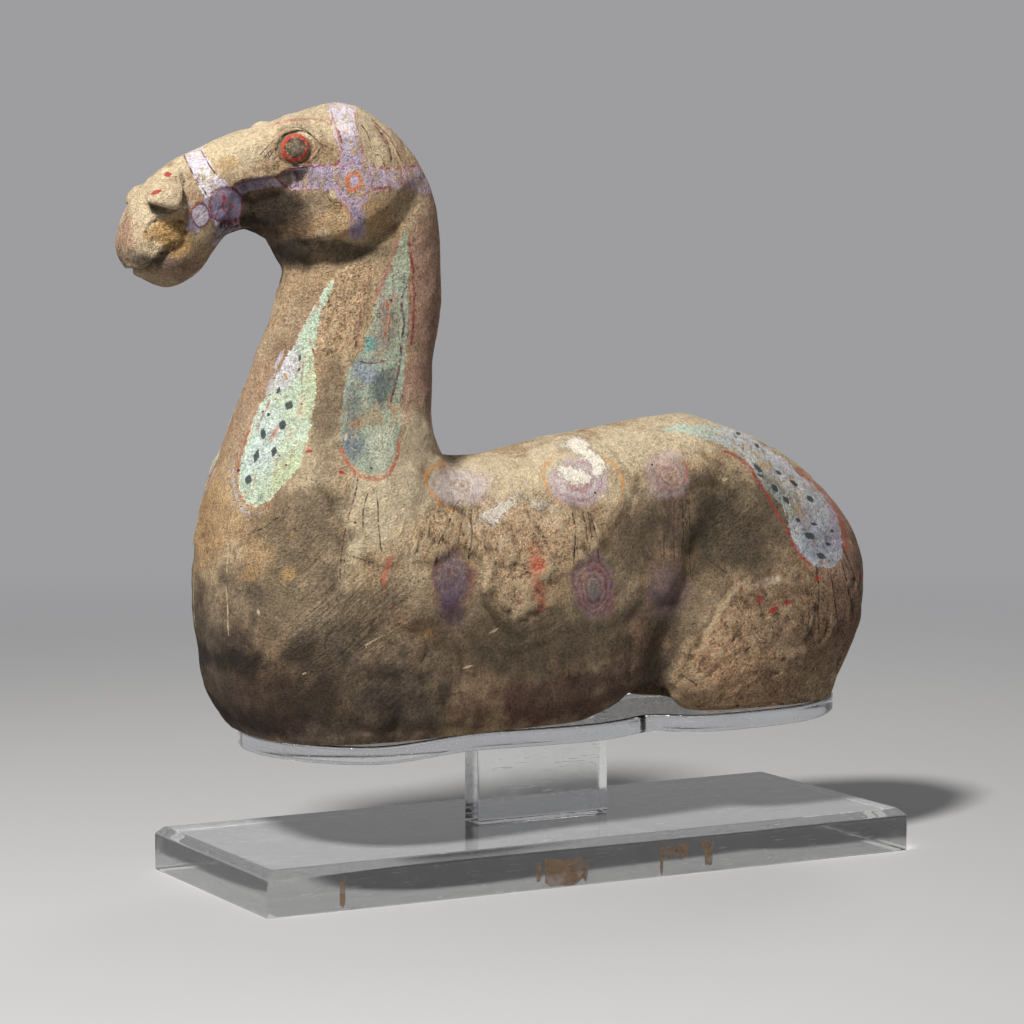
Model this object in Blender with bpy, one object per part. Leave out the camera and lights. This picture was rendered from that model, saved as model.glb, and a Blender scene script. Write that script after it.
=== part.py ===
"""Pottery horse torso on a clear acrylic stand.

Metres, +Z up. The origin is the middle of the stand's underside. The horse faces -X and its left
side faces -Y. The horse is one fired piece that rests on a cradle plate, whose column stands on a
bevelled foot.
"""

import math

import bmesh
import bpy
import numpy as np

# Driving dimensions of the stand
FOOT_LENGTH = 0.620
FOOT_WIDTH = 0.236
FOOT_THICKNESS = 0.038
FOOT_BEVEL = 0.0063
COLUMN_WIDTH = 0.128
COLUMN_DEPTH = 0.0254
COLUMN_HEIGHT = 0.0764
PLATE_THICKNESS = 0.015
PLATE_EDGE_ROUND = 0.002

# Driving dimensions of the horse: muzzle to rump, seat to poll, and across the chest
HORSE_LENGTH = 0.710
HORSE_HEIGHT = 0.524
HORSE_WIDTH = 0.222

# Faces that touch keep this gap
FACE_GAP = 0.0003

# Edges that turn more than this are drawn sharp
SHARP_FROM = math.radians(40)

COLUMN_BASE = FOOT_THICKNESS + FACE_GAP
PLATE_BASE = COLUMN_BASE + COLUMN_HEIGHT + FACE_GAP
SEAT = PLATE_BASE + PLATE_THICKNESS + FACE_GAP

# The horse and the outline of the plate that cradles it share one drawing in millimetres, which is
# scaled to the horse's length, width and height. Its x is measured from the middle of the stand.

# Edge of the cradle plate on one side, from its front tip to its rear tip (x, distance from the
# middle line)
PLATE_OUTLINE = [
    (-271, 0),
    (-265, 40),
    (-247, 75),
    (-226, 97),
    (-203, 108),
    (-174, 104),
    (-140, 92),
    (-110, 82),
    (-77, 81),
    (-34, 84),
    (27, 80),
    (57, 68),
    (85, 60),
    (106, 77),
    (133, 85),
    (180, 83),
    (217, 77),
    (249, 63),
    (276, 42),
    (296, 20),
    (304, 0),
]
PLATE_POINTS = 80

# Rings of the body, from the cut hind legs over the rump, along the barrel, up the neck and out to
# the lips. Each has its dorsal and ventral point in side view (x, height above the seat), its
# half-width, how far down the ring it is widest, and how square its upper and lower halves are.
STATIONS = [
    ((293, 0), (107, 0), 68, 0.50, 2.4, 4.5),
    ((305, 30), (93, 2), 79, 0.50, 2.3, 4.5),
    ((321, 64), (86, 5), 85, 0.50, 2.2, 4.5),
    ((328, 100), (80, 8), 88, 0.50, 2.1, 4.5),
    ((321, 139), (75, 11), 89, 0.50, 2.1, 4.5),
    ((297, 176), (71, 13), 89, 0.50, 2.1, 4.5),
    ((260, 211), (69, 15), 88, 0.50, 2.1, 4.5),
    ((205, 238), (67, 16), 88, 0.50, 2.1, 4.5),
    ((150, 254), (64, 15), 87, 0.50, 2.1, 4.5),
    ((95, 252), (55, 12), 87, 0.50, 2.1, 4.5),
    ((40, 242), (34, 2), 89, 0.50, 2.1, 4.5),
    ((-5, 236), (-8, -10), 91, 0.50, 2.1, 4.5),
    ((-48, 228), (-55, -16), 94, 0.50, 2.1, 4.5),
    ((-78, 225), (-110, -20), 99, 0.52, 2.1, 4.5),
    ((-95, 228), (-165, -22), 106, 0.54, 2.1, 4.5),
    ((-104, 235), (-218, -22), 110, 0.56, 2.1, 4.0),
    ((-109, 244), (-260, -12), 111, 0.56, 2.1, 3.2),
    ((-113, 254), (-293, 26), 109, 0.54, 2.1, 2.7),
    ((-115, 264), (-309, 78), 105, 0.52, 2.1, 2.4),
    ((-115, 275), (-312, 130), 99, 0.52, 2.1, 2.3),
    ((-113, 288), (-307, 185), 90, 0.50, 2.1, 2.2),
    ((-110, 305), (-292, 235), 77, 0.50, 2.1, 2.1),
    ((-105, 324), (-274, 280), 64, 0.50, 2.1, 2.1),
    ((-99, 348), (-258, 322), 55, 0.50, 2.1, 2.1),
    ((-96, 375), (-247, 350), 49, 0.50, 2.1, 2.1),
    ((-97, 405), (-242, 366), 46, 0.50, 2.1, 2.3),
    ((-102, 435), (-239, 377), 46, 0.50, 2.1, 2.5),
    ((-109, 457), (-239, 384), 46, 0.50, 2.1, 2.6),
    ((-119, 475), (-240, 390), 52, 0.52, 2.1, 2.7),
    ((-140, 501), (-244, 399), 53, 0.54, 2.1, 2.6),
    ((-178, 522), (-251, 409), 49, 0.50, 2.1, 2.3),
    ((-211, 519), (-261, 415), 45, 0.42, 2.2, 2.1),
    ((-238, 511), (-272, 419), 41, 0.36, 2.3, 1.9),
    ((-261, 504), (-284, 417), 36, 0.36, 2.4, 1.9),
    ((-283, 498), (-296, 411), 32, 0.38, 2.4, 2.0),
    ((-303, 490), (-306, 400), 30, 0.42, 2.3, 2.1),
    ((-321, 482), (-316, 387), 29, 0.46, 2.2, 2.2),
    ((-339, 473), (-329, 377), 31, 0.48, 2.1, 2.2),
    ((-354, 462), (-342, 373), 32, 0.50, 2.1, 2.2),
    ((-367, 449), (-354, 376), 31, 0.50, 2.1, 2.2),
    ((-376, 434), (-364, 380), 28, 0.50, 2.1, 2.2),
    ((-381, 418), (-373, 384), 22, 0.50, 2.0, 2.0),
    ((-383, 403), (-381, 396), 7, 0.50, 2.0, 2.0),
]

# Gap between the stumps of the hind legs: its depth at the first stations, and where it ends
CLEFT_DEPTH = (42, 54, 60, 56, 46, 34, 20, 8)
CLEFT_INSIDE = 30
CLEFT_OUTSIDE = 72

# Swellings and hollows carved on both sides, each with its middle and reach along, across and up,
# the lean of its long way in degrees, its rise (below zero it is a hollow) and how firm its edge is
SWELLINGS = [
    # Brow over the eye, and the eyeball
    ((-250, 31, 505), (14, 10, 9), -12, 7.0, 2),
    ((-248, 42, 484), (17, 14, 13), 0, 4.5, 1),
    # Flared nostril
    ((-356, 27, 443), (13, 13, 12), 0, 9.0, 2),
    # Hollows under the facial crest and in front of the jowl
    ((-280, 32, 442), (32, 22, 14), -22, -5.0, 1),
    ((-248, 38, 426), (16, 22, 20), -35, -4.0, 1),
    # Jowl disc
    ((-196, 50, 440), (42, 26, 34), -20, 3.0, 1),
    # Stump of the thigh, and the flank hollow above it
    ((170, 88, 66), (56, 50, 64), -25, 8.0, 2),
    ((146, 84, 168), (48, 50, 34), 15, -9.0, 1),
    # Hollow across the lower chest
    ((-285, 60, 74), (40, 60, 16), 0, -3.0, 1),
]

# Furrows drawn on both sides, each with its path in side view, its width and its depth
FURROWS = [
    # In front of the thigh, from the belly up to the flank
    (((86, 14), (89, 50), (97, 86), (108, 118), (118, 142)), 18, 9.0),
    # Behind the foreleg
    (((-140, 30), (-137, 60), (-136, 95)), 12, 2.5),
    # Crease between the jowl and the neck
    (((-240, 384), (-218, 393), (-197, 403), (-178, 415), (-160, 429), (-140, 446)), 10, 3.5),
    # Mouth
    (((-388, 388), (-371, 387), (-363, 391), (-355, 398), (-342, 405)), 5, 3.0),
]

# Rings between two stations on the body, from the neck's root, and on the head
RINGS_ON_BODY = 1.5
RINGS_ON_HEAD = 3
HEAD_STATION = 25
AROUND = 48


def material(name, color, roughness, transmission=0.0):
    made = bpy.data.materials.new(name)
    made.use_nodes = True
    shader = made.node_tree.nodes["Principled BSDF"]
    shader.inputs["Base Color"].default_value = (*color, 1)
    shader.inputs["Roughness"].default_value = roughness
    shader.inputs["Metallic"].default_value = 0.0
    shader.inputs["Transmission Weight"].default_value = transmission
    return made


def add_object(name, builder, finish, base):
    """Turns a filled bmesh into a named object that stands at the given height."""
    bmesh.ops.recalc_face_normals(builder, faces=builder.faces)
    mesh = bpy.data.meshes.new(name)
    builder.to_mesh(mesh)
    builder.free()
    mesh.materials.append(finish)
    mesh.shade_smooth()
    mesh.set_sharp_from_angle(angle=SHARP_FROM)
    made = bpy.data.objects.new(name, mesh)
    made.location.z = base
    bpy.context.scene.collection.objects.link(made)


def natural_spline(knots, values, at):
    """Natural cubic spline through values at the knots, read at the given places."""
    count = len(knots)
    gap = np.diff(knots)
    slope = np.diff(values, axis=0) / gap[:, None]
    system = np.eye(count)
    right = np.zeros_like(values)
    for i in range(1, count - 1):
        system[i, i - 1 : i + 2] = (gap[i - 1], 2 * (gap[i - 1] + gap[i]), gap[i])
        right[i] = 6 * (slope[i] - slope[i - 1])
    bend = np.linalg.solve(system, right)
    i = np.clip(np.searchsorted(knots, at) - 1, 0, count - 2)
    t = (at - knots[i])[:, None]
    h = gap[i][:, None]
    linear = slope[i] - h * (2 * bend[i] + bend[i + 1]) / 6
    return values[i] + t * linear + t**2 * bend[i] / 2 + t**3 * (bend[i + 1] - bend[i]) / (6 * h)


def soft_step(value, start, end):
    """Goes smoothly from 0 at the start to 1 at the end."""
    t = np.clip((value - start) / (end - start), 0, 1)
    return t * t * (3 - 2 * t)


def ring_points(row, around):
    """One closed ring: a superellipse in the plane of its dorsal and ventral points."""
    dorsal, ventral = row[0:2], row[2:4]
    half_width, widest, upper_power, lower_power, cleft = row[4:9]
    turn = np.linspace(0, 2 * np.pi, around, endpoint=False)
    along, across = np.cos(turn), np.sin(turn)
    power = np.where(along > 0, upper_power, lower_power)
    reach = (np.abs(along) ** power + np.abs(across) ** power) ** (-1 / power)
    share = widest - reach * along * np.where(along > 0, widest, 1 - widest)
    out = reach * across * half_width
    inside = 1 - soft_step(np.abs(out), CLEFT_INSIDE, CLEFT_OUTSIDE)
    below = soft_step(share, 0.5, 0.9)
    share -= inside * below * max(cleft, 0) / np.linalg.norm(ventral - dorsal)
    side = dorsal + share[:, None] * (ventral - dorsal)
    return np.stack([side[:, 0], out, side[:, 1]], axis=1)


def outward(rings):
    """Unit normals of the closed rings."""
    along = np.gradient(rings, axis=0)
    about = np.roll(rings, -1, axis=1) - np.roll(rings, 1, axis=1)
    normal = np.cross(about, along)
    return normal / np.maximum(np.linalg.norm(normal, axis=2, keepdims=True), 1e-9)


def distance_to_path(x, height, path):
    """Distance in side view from each point to a bent line."""
    nearest = np.full(x.shape, np.inf)
    for (ax, ah), (bx, bh) in zip(path, path[1:]):
        run = (bx - ax) ** 2 + (bh - ah) ** 2
        t = np.clip(((x - ax) * (bx - ax) + (height - ah) * (bh - ah)) / run, 0, 1)
        away = np.hypot(x - ax - t * (bx - ax), height - ah - t * (bh - ah))
        nearest = np.minimum(nearest, away)
    return nearest


def relief(rings):
    """How far the carving raises each point."""
    x, side, height = rings[..., 0], np.abs(rings[..., 1]), rings[..., 2]
    rise = np.zeros(x.shape)
    for (mx, my, mh), (rx, ry, rh), lean, amount, firm in SWELLINGS:
        c, s = math.cos(math.radians(lean)), math.sin(math.radians(lean))
        dx, dh = x - mx, height - mh
        far = ((c * dx - s * dh) / rx) ** 2 + ((side - my) / ry) ** 2 + ((s * dx + c * dh) / rh) ** 2
        rise += amount * np.exp(-(far**firm))
    for path, width, depth in FURROWS:
        facing = np.clip(side / 15, 0, 1)
        rise -= depth * facing * np.exp(-((distance_to_path(x, height, path) / width) ** 2))
    return rise


def horse_rings(on_body, on_head, around):
    """The whole body as rings of points, in millimetres of the drawing."""
    rows = np.array([[*d, *v, *rest, 0] for d, v, *rest in STATIONS], float)
    rows[: len(CLEFT_DEPTH), -1] = CLEFT_DEPTH
    last = len(rows) - 1
    knots = np.arange(last + 1, dtype=float)
    body = np.linspace(0, HEAD_STATION, round(HEAD_STATION * on_body) + 1)
    head = np.linspace(HEAD_STATION, last, round((last - HEAD_STATION) * on_head) + 1)
    at = np.concatenate([body, head[1:]])
    rings = np.array([ring_points(row, around) for row in natural_spline(knots, rows, at)])
    rings += relief(rings)[..., None] * outward(rings)
    rings[..., 2] = np.maximum(rings[..., 2], 0)
    return rings


def drawing_scale(rings):
    """Metres for each millimetre of the drawing, along, across and up."""
    drawn = np.ptp(rings.reshape(-1, 3), axis=0)
    return np.array([HORSE_LENGTH, HORSE_WIDTH, HORSE_HEIGHT]) / drawn


def make_horse(rings, scale, finish):
    builder = bmesh.new()
    loops = [[builder.verts.new(point) for point in ring] for ring in rings * scale]
    for lower, upper in zip(loops, loops[1:]):
        for k in range(AROUND):
            n = (k + 1) % AROUND
            builder.faces.new((lower[k], lower[n], upper[n], upper[k]))
    builder.faces.new(loops[0])
    builder.faces.new(loops[-1])
    add_object("horse", builder, finish, SEAT)


def plate_outline(scale):
    """The plate's edge as a closed loop in plan, the same on both sides."""
    half = np.array(PLATE_OUTLINE, float) * scale * (1, -1)
    loop = np.concatenate([half, half[-2:0:-1] * (1, -1)])
    doubled = np.concatenate([loop, loop, loop, loop[:1]])
    run = np.concatenate([[0], np.cumsum(np.linalg.norm(np.diff(doubled, axis=0), axis=1))])
    once = run[-1] / 3
    at = once + np.linspace(0, once, PLATE_POINTS, endpoint=False)
    return natural_spline(run, doubled, at)


def slab(outline, thickness):
    """A straight-sided solid on an outline, its underside at height zero."""
    builder = bmesh.new()
    underside = builder.faces.new([builder.verts.new((x, y, 0)) for x, y in outline])
    raised = bmesh.ops.extrude_face_region(builder, geom=[underside])["geom"]
    top = [part for part in raised if isinstance(part, bmesh.types.BMVert)]
    bmesh.ops.translate(builder, verts=top, vec=(0, 0, thickness))
    return builder


def bevel_rim(builder, height, width, segments):
    """Bevels the edges of a slab that lie at one height."""
    rim = [edge for edge in builder.edges if all(abs(v.co.z - height) < 1e-6 for v in edge.verts)]
    bmesh.ops.bevel(builder, geom=rim, offset=width, segments=segments, profile=0.5, affect="EDGES")


def rectangle(length, width):
    x, y = length / 2, width / 2
    return [(-x, -y), (x, -y), (x, y), (-x, y)]


def make_plate(scale, finish):
    plate = slab(plate_outline(scale[:2]), PLATE_THICKNESS)
    bevel_rim(plate, PLATE_THICKNESS, PLATE_EDGE_ROUND, 2)
    bevel_rim(plate, 0, PLATE_EDGE_ROUND, 2)
    add_object("cradle_plate", plate, finish, PLATE_BASE)


def make_column(finish):
    add_object("column", slab(rectangle(COLUMN_WIDTH, COLUMN_DEPTH), COLUMN_HEIGHT), finish, COLUMN_BASE)


def make_foot(finish):
    foot = slab(rectangle(FOOT_LENGTH, FOOT_WIDTH), FOOT_THICKNESS)
    bevel_rim(foot, FOOT_THICKNESS, FOOT_BEVEL, 1)
    add_object("foot", foot, finish, 0)


def main():
    for old in list(bpy.data.objects):
        bpy.data.objects.remove(old)
    clay = material("painted pottery", (0.55, 0.42, 0.28), 0.85)
    clear = material("clear acrylic", (0.90, 0.92, 0.93), 0.05, transmission=1.0)
    rings = horse_rings(RINGS_ON_BODY, RINGS_ON_HEAD, AROUND)
    scale = drawing_scale(rings)
    make_horse(rings, scale, clay)
    make_plate(scale, clear)
    make_column(clear)
    make_foot(clear)


main()
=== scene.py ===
"""Looks of the pottery horse torso and its clear acrylic stand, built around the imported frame.

The horse repeats the rings of the CAD solid at a finer step and adds the worn surface of the clay.
Paint is drawn in units of a view of the near side from in front, 1024 by 1024 from its top left
corner, laid over the surface and mirrored to the far side.
"""

import math

import bmesh
import bpy
import numpy as np
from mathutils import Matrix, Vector


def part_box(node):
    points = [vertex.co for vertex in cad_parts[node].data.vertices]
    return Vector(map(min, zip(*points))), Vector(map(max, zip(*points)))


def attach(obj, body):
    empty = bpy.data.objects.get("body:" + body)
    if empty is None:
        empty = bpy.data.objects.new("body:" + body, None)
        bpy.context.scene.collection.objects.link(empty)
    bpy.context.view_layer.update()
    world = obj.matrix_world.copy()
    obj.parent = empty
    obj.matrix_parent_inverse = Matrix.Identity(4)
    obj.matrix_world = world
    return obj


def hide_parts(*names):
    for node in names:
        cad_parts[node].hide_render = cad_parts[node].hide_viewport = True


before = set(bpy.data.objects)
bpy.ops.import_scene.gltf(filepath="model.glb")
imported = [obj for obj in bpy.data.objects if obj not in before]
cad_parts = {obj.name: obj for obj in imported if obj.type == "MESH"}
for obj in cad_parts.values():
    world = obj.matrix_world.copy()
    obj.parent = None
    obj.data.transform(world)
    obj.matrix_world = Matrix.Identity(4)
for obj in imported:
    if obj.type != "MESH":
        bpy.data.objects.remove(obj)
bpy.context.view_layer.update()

# The view, which is also the drawing's
VIEW_POINT = np.array([-1.3916, -2.5381, 0.5572])
VIEW_YAW = math.radians(-28.3137)
VIEW_PITCH = math.radians(-4.9768)
LENS = 117.906
SENSOR = 36.0
DRAWING_SIDE = 1024.0

# Rings of the horse, in millimetres, as in the CAD solid: dorsal and ventral point (x, height above
# the seat), half-width, how far down it is widest, and how square its upper and lower halves are
STATIONS = [
    ((293, 0), (107, 0), 68, 0.50, 2.4, 4.5),
    ((305, 30), (93, 2), 79, 0.50, 2.3, 4.5),
    ((321, 64), (86, 5), 85, 0.50, 2.2, 4.5),
    ((328, 100), (80, 8), 88, 0.50, 2.1, 4.5),
    ((321, 139), (75, 11), 89, 0.50, 2.1, 4.5),
    ((297, 176), (71, 13), 89, 0.50, 2.1, 4.5),
    ((260, 211), (69, 15), 88, 0.50, 2.1, 4.5),
    ((205, 238), (67, 16), 88, 0.50, 2.1, 4.5),
    ((150, 254), (64, 15), 87, 0.50, 2.1, 4.5),
    ((95, 252), (55, 12), 87, 0.50, 2.1, 4.5),
    ((40, 242), (34, 2), 89, 0.50, 2.1, 4.5),
    ((-5, 236), (-8, -10), 91, 0.50, 2.1, 4.5),
    ((-48, 228), (-55, -16), 94, 0.50, 2.1, 4.5),
    ((-78, 225), (-110, -20), 99, 0.52, 2.1, 4.5),
    ((-95, 228), (-165, -22), 106, 0.54, 2.1, 4.5),
    ((-104, 235), (-218, -22), 110, 0.56, 2.1, 4.0),
    ((-109, 244), (-260, -12), 111, 0.56, 2.1, 3.2),
    ((-113, 254), (-293, 26), 109, 0.54, 2.1, 2.7),
    ((-115, 264), (-309, 78), 105, 0.52, 2.1, 2.4),
    ((-115, 275), (-312, 130), 99, 0.52, 2.1, 2.3),
    ((-113, 288), (-307, 185), 90, 0.50, 2.1, 2.2),
    ((-110, 305), (-292, 235), 77, 0.50, 2.1, 2.1),
    ((-105, 324), (-274, 280), 64, 0.50, 2.1, 2.1),
    ((-99, 348), (-258, 322), 55, 0.50, 2.1, 2.1),
    ((-96, 375), (-247, 350), 49, 0.50, 2.1, 2.1),
    ((-97, 405), (-242, 366), 46, 0.50, 2.1, 2.3),
    ((-102, 435), (-239, 377), 46, 0.50, 2.1, 2.5),
    ((-109, 457), (-239, 384), 46, 0.50, 2.1, 2.6),
    ((-119, 475), (-240, 390), 52, 0.52, 2.1, 2.7),
    ((-140, 501), (-244, 399), 53, 0.54, 2.1, 2.6),
    ((-178, 522), (-251, 409), 49, 0.50, 2.1, 2.3),
    ((-211, 519), (-261, 415), 45, 0.42, 2.2, 2.1),
    ((-238, 511), (-272, 419), 41, 0.36, 2.3, 1.9),
    ((-261, 504), (-284, 417), 36, 0.36, 2.4, 1.9),
    ((-283, 498), (-296, 411), 32, 0.38, 2.4, 2.0),
    ((-303, 490), (-306, 400), 30, 0.42, 2.3, 2.1),
    ((-321, 482), (-316, 387), 29, 0.46, 2.2, 2.2),
    ((-339, 473), (-329, 377), 31, 0.48, 2.1, 2.2),
    ((-354, 462), (-342, 373), 32, 0.50, 2.1, 2.2),
    ((-367, 449), (-354, 376), 31, 0.50, 2.1, 2.2),
    ((-376, 434), (-364, 380), 28, 0.50, 2.1, 2.2),
    ((-381, 418), (-373, 384), 22, 0.50, 2.0, 2.0),
    ((-383, 403), (-381, 396), 7, 0.50, 2.0, 2.0),
]
CLEFT_DEPTH = (42, 54, 60, 56, 46, 34, 20, 8)
CLEFT_INSIDE = 30
CLEFT_OUTSIDE = 72

# The solid's carving: swellings with their middle, reach, lean, rise and firmness, and furrows with
# their path in side view, width and depth
SWELLINGS = [
    ((-250, 31, 505), (14, 10, 9), -12, 7.0, 2),
    ((-248, 42, 484), (17, 14, 13), 0, 4.5, 1),
    ((-356, 27, 443), (13, 13, 12), 0, 9.0, 2),
    ((-280, 32, 442), (32, 22, 14), -22, -5.0, 1),
    ((-248, 38, 426), (16, 22, 20), -35, -4.0, 1),
    ((-196, 50, 440), (42, 26, 34), -20, 3.0, 1),
    ((170, 88, 66), (56, 50, 64), -25, 8.0, 2),
    ((146, 84, 168), (48, 50, 34), 15, -9.0, 1),
    ((-285, 60, 74), (40, 60, 16), 0, -3.0, 1),
]
FURROWS = [
    (((86, 14), (89, 50), (97, 86), (108, 118), (118, 142)), 18, 9.0),
    (((-140, 30), (-137, 60), (-136, 95)), 12, 2.5),
    (((-240, 384), (-218, 393), (-197, 403), (-178, 415), (-160, 429), (-140, 446)), 10, 3.5),
    (((-388, 388), (-371, 387), (-363, 391), (-355, 398), (-342, 405)), 5, 3.0),
]

# Rings between two stations on the body and on the head, and points round each ring on its near
# and far side, which crowd a little towards what the view shows
RINGS_ON_BODY = 12
RINGS_ON_HEAD = 11
HEAD_STATION = 25
NEAR_POINTS = 112
FAR_POINTS = 88
CROWDING = 0.10

# Edge of the cradle plate on one side, in the same millimetres (x, distance from the middle line)
PLATE_OUTLINE = [
    (-271, 0), (-265, 40), (-247, 75), (-226, 97), (-203, 108), (-174, 104), (-140, 92), (-110, 82),
    (-77, 81), (-34, 84), (27, 80), (57, 68), (85, 60), (106, 77), (133, 85), (180, 83), (217, 77),
    (249, 63), (276, 42), (296, 20), (304, 0),
]


def natural_spline(knots, values, at):
    """Natural cubic spline through values at the knots, read at the given places."""
    count = len(knots)
    gap = np.diff(knots)
    slope = np.diff(values, axis=0) / gap[:, None]
    system = np.eye(count)
    right = np.zeros_like(values)
    for i in range(1, count - 1):
        system[i, i - 1 : i + 2] = (gap[i - 1], 2 * (gap[i - 1] + gap[i]), gap[i])
        right[i] = 6 * (slope[i] - slope[i - 1])
    bend = np.linalg.solve(system, right)
    i = np.clip(np.searchsorted(knots, at) - 1, 0, count - 2)
    t = (at - knots[i])[:, None]
    h = gap[i][:, None]
    linear = slope[i] - h * (2 * bend[i] + bend[i + 1]) / 6
    return values[i] + t * linear + t**2 * bend[i] / 2 + t**3 * (bend[i + 1] - bend[i]) / (6 * h)


def soft_step(value, start, end):
    """Goes smoothly from 0 at the start to 1 at the end."""
    t = np.clip((value - start) / (end - start), 0, 1)
    return t * t * (3 - 2 * t)


def bell(value, width):
    """A smooth hump, 1 at zero and small beyond the width."""
    return np.exp(-((value / width) ** 2))


def tapered(share, start, end):
    """Fades in over the first share of a line and out over its last."""
    return soft_step(share, 0, start) * (1 - soft_step(share, end, 1))


def at_least(low, share):
    """A share between 0 and 1 that starts from a low value instead."""
    return low + (1 - low) * share


def ring_turns():
    """Angles round a ring from its dorsal point, closer together where the surface shows."""
    far = np.linspace(0, 1, FAR_POINTS, endpoint=False)
    near = np.linspace(0, 1, NEAR_POINTS, endpoint=False)
    far = far + CROWDING * (np.sin(2 * np.pi * far) / (2 * np.pi) + far * (1 - far))
    near = near - CROWDING * (np.sin(2 * np.pi * near) / (2 * np.pi) + near * (1 - near))
    return np.pi * np.concatenate([far, 1 + near])


def ring_points(row, turn):
    """One closed ring: a superellipse in the plane of its dorsal and ventral points."""
    dorsal, ventral = row[0:2], row[2:4]
    half_width, widest, upper_power, lower_power, cleft = row[4:9]
    along, across = np.cos(turn), np.sin(turn)
    power = np.where(along > 0, upper_power, lower_power)
    reach = (np.abs(along) ** power + np.abs(across) ** power) ** (-1 / power)
    share = widest - reach * along * np.where(along > 0, widest, 1 - widest)
    out = reach * across * half_width
    inside = 1 - soft_step(np.abs(out), CLEFT_INSIDE, CLEFT_OUTSIDE)
    below = soft_step(share, 0.5, 0.9)
    share -= inside * below * max(cleft, 0) / np.linalg.norm(ventral - dorsal)
    side = dorsal + share[:, None] * (ventral - dorsal)
    return np.stack([side[:, 0], out, side[:, 1]], axis=1)


def outward(rings):
    """Unit normals of the closed rings."""
    along = np.gradient(rings, axis=0)
    about = np.roll(rings, -1, axis=1) - np.roll(rings, 1, axis=1)
    normal = np.cross(about, along)
    return normal / np.maximum(np.linalg.norm(normal, axis=2, keepdims=True), 1e-9)


def path_field(places, path):
    """Signed distance to a bent line (above zero on the right hand going along it where y points
    down), plain distance, and the share of its length that the nearest point has reached."""
    nearest = np.full(places.shape[:-1], np.inf)
    signed = np.zeros(nearest.shape)
    share = np.zeros(nearest.shape)
    lengths = np.linalg.norm(np.diff(path, axis=0), axis=1)
    done = 0.0
    for start, end, length in zip(path, path[1:], lengths):
        run = end - start
        offset = places - start
        t = np.clip((offset @ run) / max(length**2, 1e-9), 0, 1)
        away = np.linalg.norm(offset - t[..., None] * run, axis=-1)
        side = np.sign(run[0] * offset[..., 1] - run[1] * offset[..., 0])
        closer = away < nearest
        nearest = np.where(closer, away, nearest)
        signed = np.where(closer, away * side, signed)
        share = np.where(closer, (done + t * length) / lengths.sum(), share)
        done += length
    return signed, nearest, share


def carving(rings):
    """How far the solid's carving raises each point."""
    x, side, height = rings[..., 0], np.abs(rings[..., 1]), rings[..., 2]
    rise = np.zeros(x.shape)
    for (mx, my, mh), (rx, ry, rh), lean, amount, firm in SWELLINGS:
        c, s = math.cos(math.radians(lean)), math.sin(math.radians(lean))
        dx, dh = x - mx, height - mh
        far = ((c * dx - s * dh) / rx) ** 2 + ((side - my) / ry) ** 2 + ((s * dx + c * dh) / rh) ** 2
        rise += amount * np.exp(-(far**firm))
    off_the_ridge = np.clip(side / 15, 0, 1)
    for path, width, depth in FURROWS:
        _, far, _ = path_field(rings[..., [0, 2]], np.array(path, float))
        rise -= depth * off_the_ridge * bell(far, width)
    return rise


def solid_rings():
    """The solid's form as fine rings of points, in metres of the row frame."""
    rows = np.array([[*dorsal, *ventral, *rest, 0] for dorsal, ventral, *rest in STATIONS], float)
    rows[: len(CLEFT_DEPTH), -1] = CLEFT_DEPTH
    last = len(rows) - 1
    body = np.linspace(0, HEAD_STATION, HEAD_STATION * RINGS_ON_BODY + 1)
    head = np.linspace(HEAD_STATION, last, (last - HEAD_STATION) * RINGS_ON_HEAD + 1)
    at = np.concatenate([body, head[1:]])
    turn = ring_turns()
    spline = natural_spline(np.arange(last + 1, dtype=float), rows, at)
    rings = np.array([ring_points(row, turn) for row in spline])
    rings += carving(rings)[..., None] * outward(rings)
    rings[..., 2] = np.maximum(rings[..., 2], 0)
    low, high = (np.array(corner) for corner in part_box("horse"))
    scale = (high - low) / np.ptp(rings.reshape(-1, 3), axis=0)
    return rings * scale + (0, 0, low[2])


# The drawing

AHEAD = np.array([
    -math.sin(VIEW_YAW) * math.cos(VIEW_PITCH),
    math.cos(VIEW_YAW) * math.cos(VIEW_PITCH),
    math.sin(VIEW_PITCH),
])
RIGHT = np.array([math.cos(VIEW_YAW), math.sin(VIEW_YAW), 0.0])
UP = np.cross(RIGHT, AHEAD)


def drawing_places(points):
    """Where points lie in the drawing; those of the far side count as mirrored to the near side."""
    near = points.copy()
    near[..., 1] = -np.abs(points[..., 1])
    offset = near - VIEW_POINT
    unit = LENS / SENSOR * DRAWING_SIDE / (offset @ AHEAD)
    middle = DRAWING_SIDE / 2
    return np.stack([middle + unit * (offset @ RIGHT), middle - unit * (offset @ UP)], axis=-1)


def facing_drawing(points, normals):
    """How squarely each point faces the drawing, 0 where it turns away."""
    mirror = np.ones(points.shape)
    mirror[..., 1] = np.where(points[..., 1] > 0, -1.0, 1.0)
    sight = VIEW_POINT - points * mirror
    sight /= np.linalg.norm(sight, axis=-1, keepdims=True)
    return (normals * mirror * sight).sum(axis=-1)


def smooth_path(path, closed=False, step=2.0):
    """A bent line drawn smoothly through its points."""
    path = np.array(path, float)
    if closed:
        path = np.concatenate([path[-3:], path, path[:4]])
    run = np.concatenate([[0], np.cumsum(np.linalg.norm(np.diff(path, axis=0), axis=1))])
    start, end = (run[3], run[-4]) if closed else (0, run[-1])
    count = max(3, round((end - start) / step))
    return natural_spline(run, path, np.linspace(start, end, count))


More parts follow.
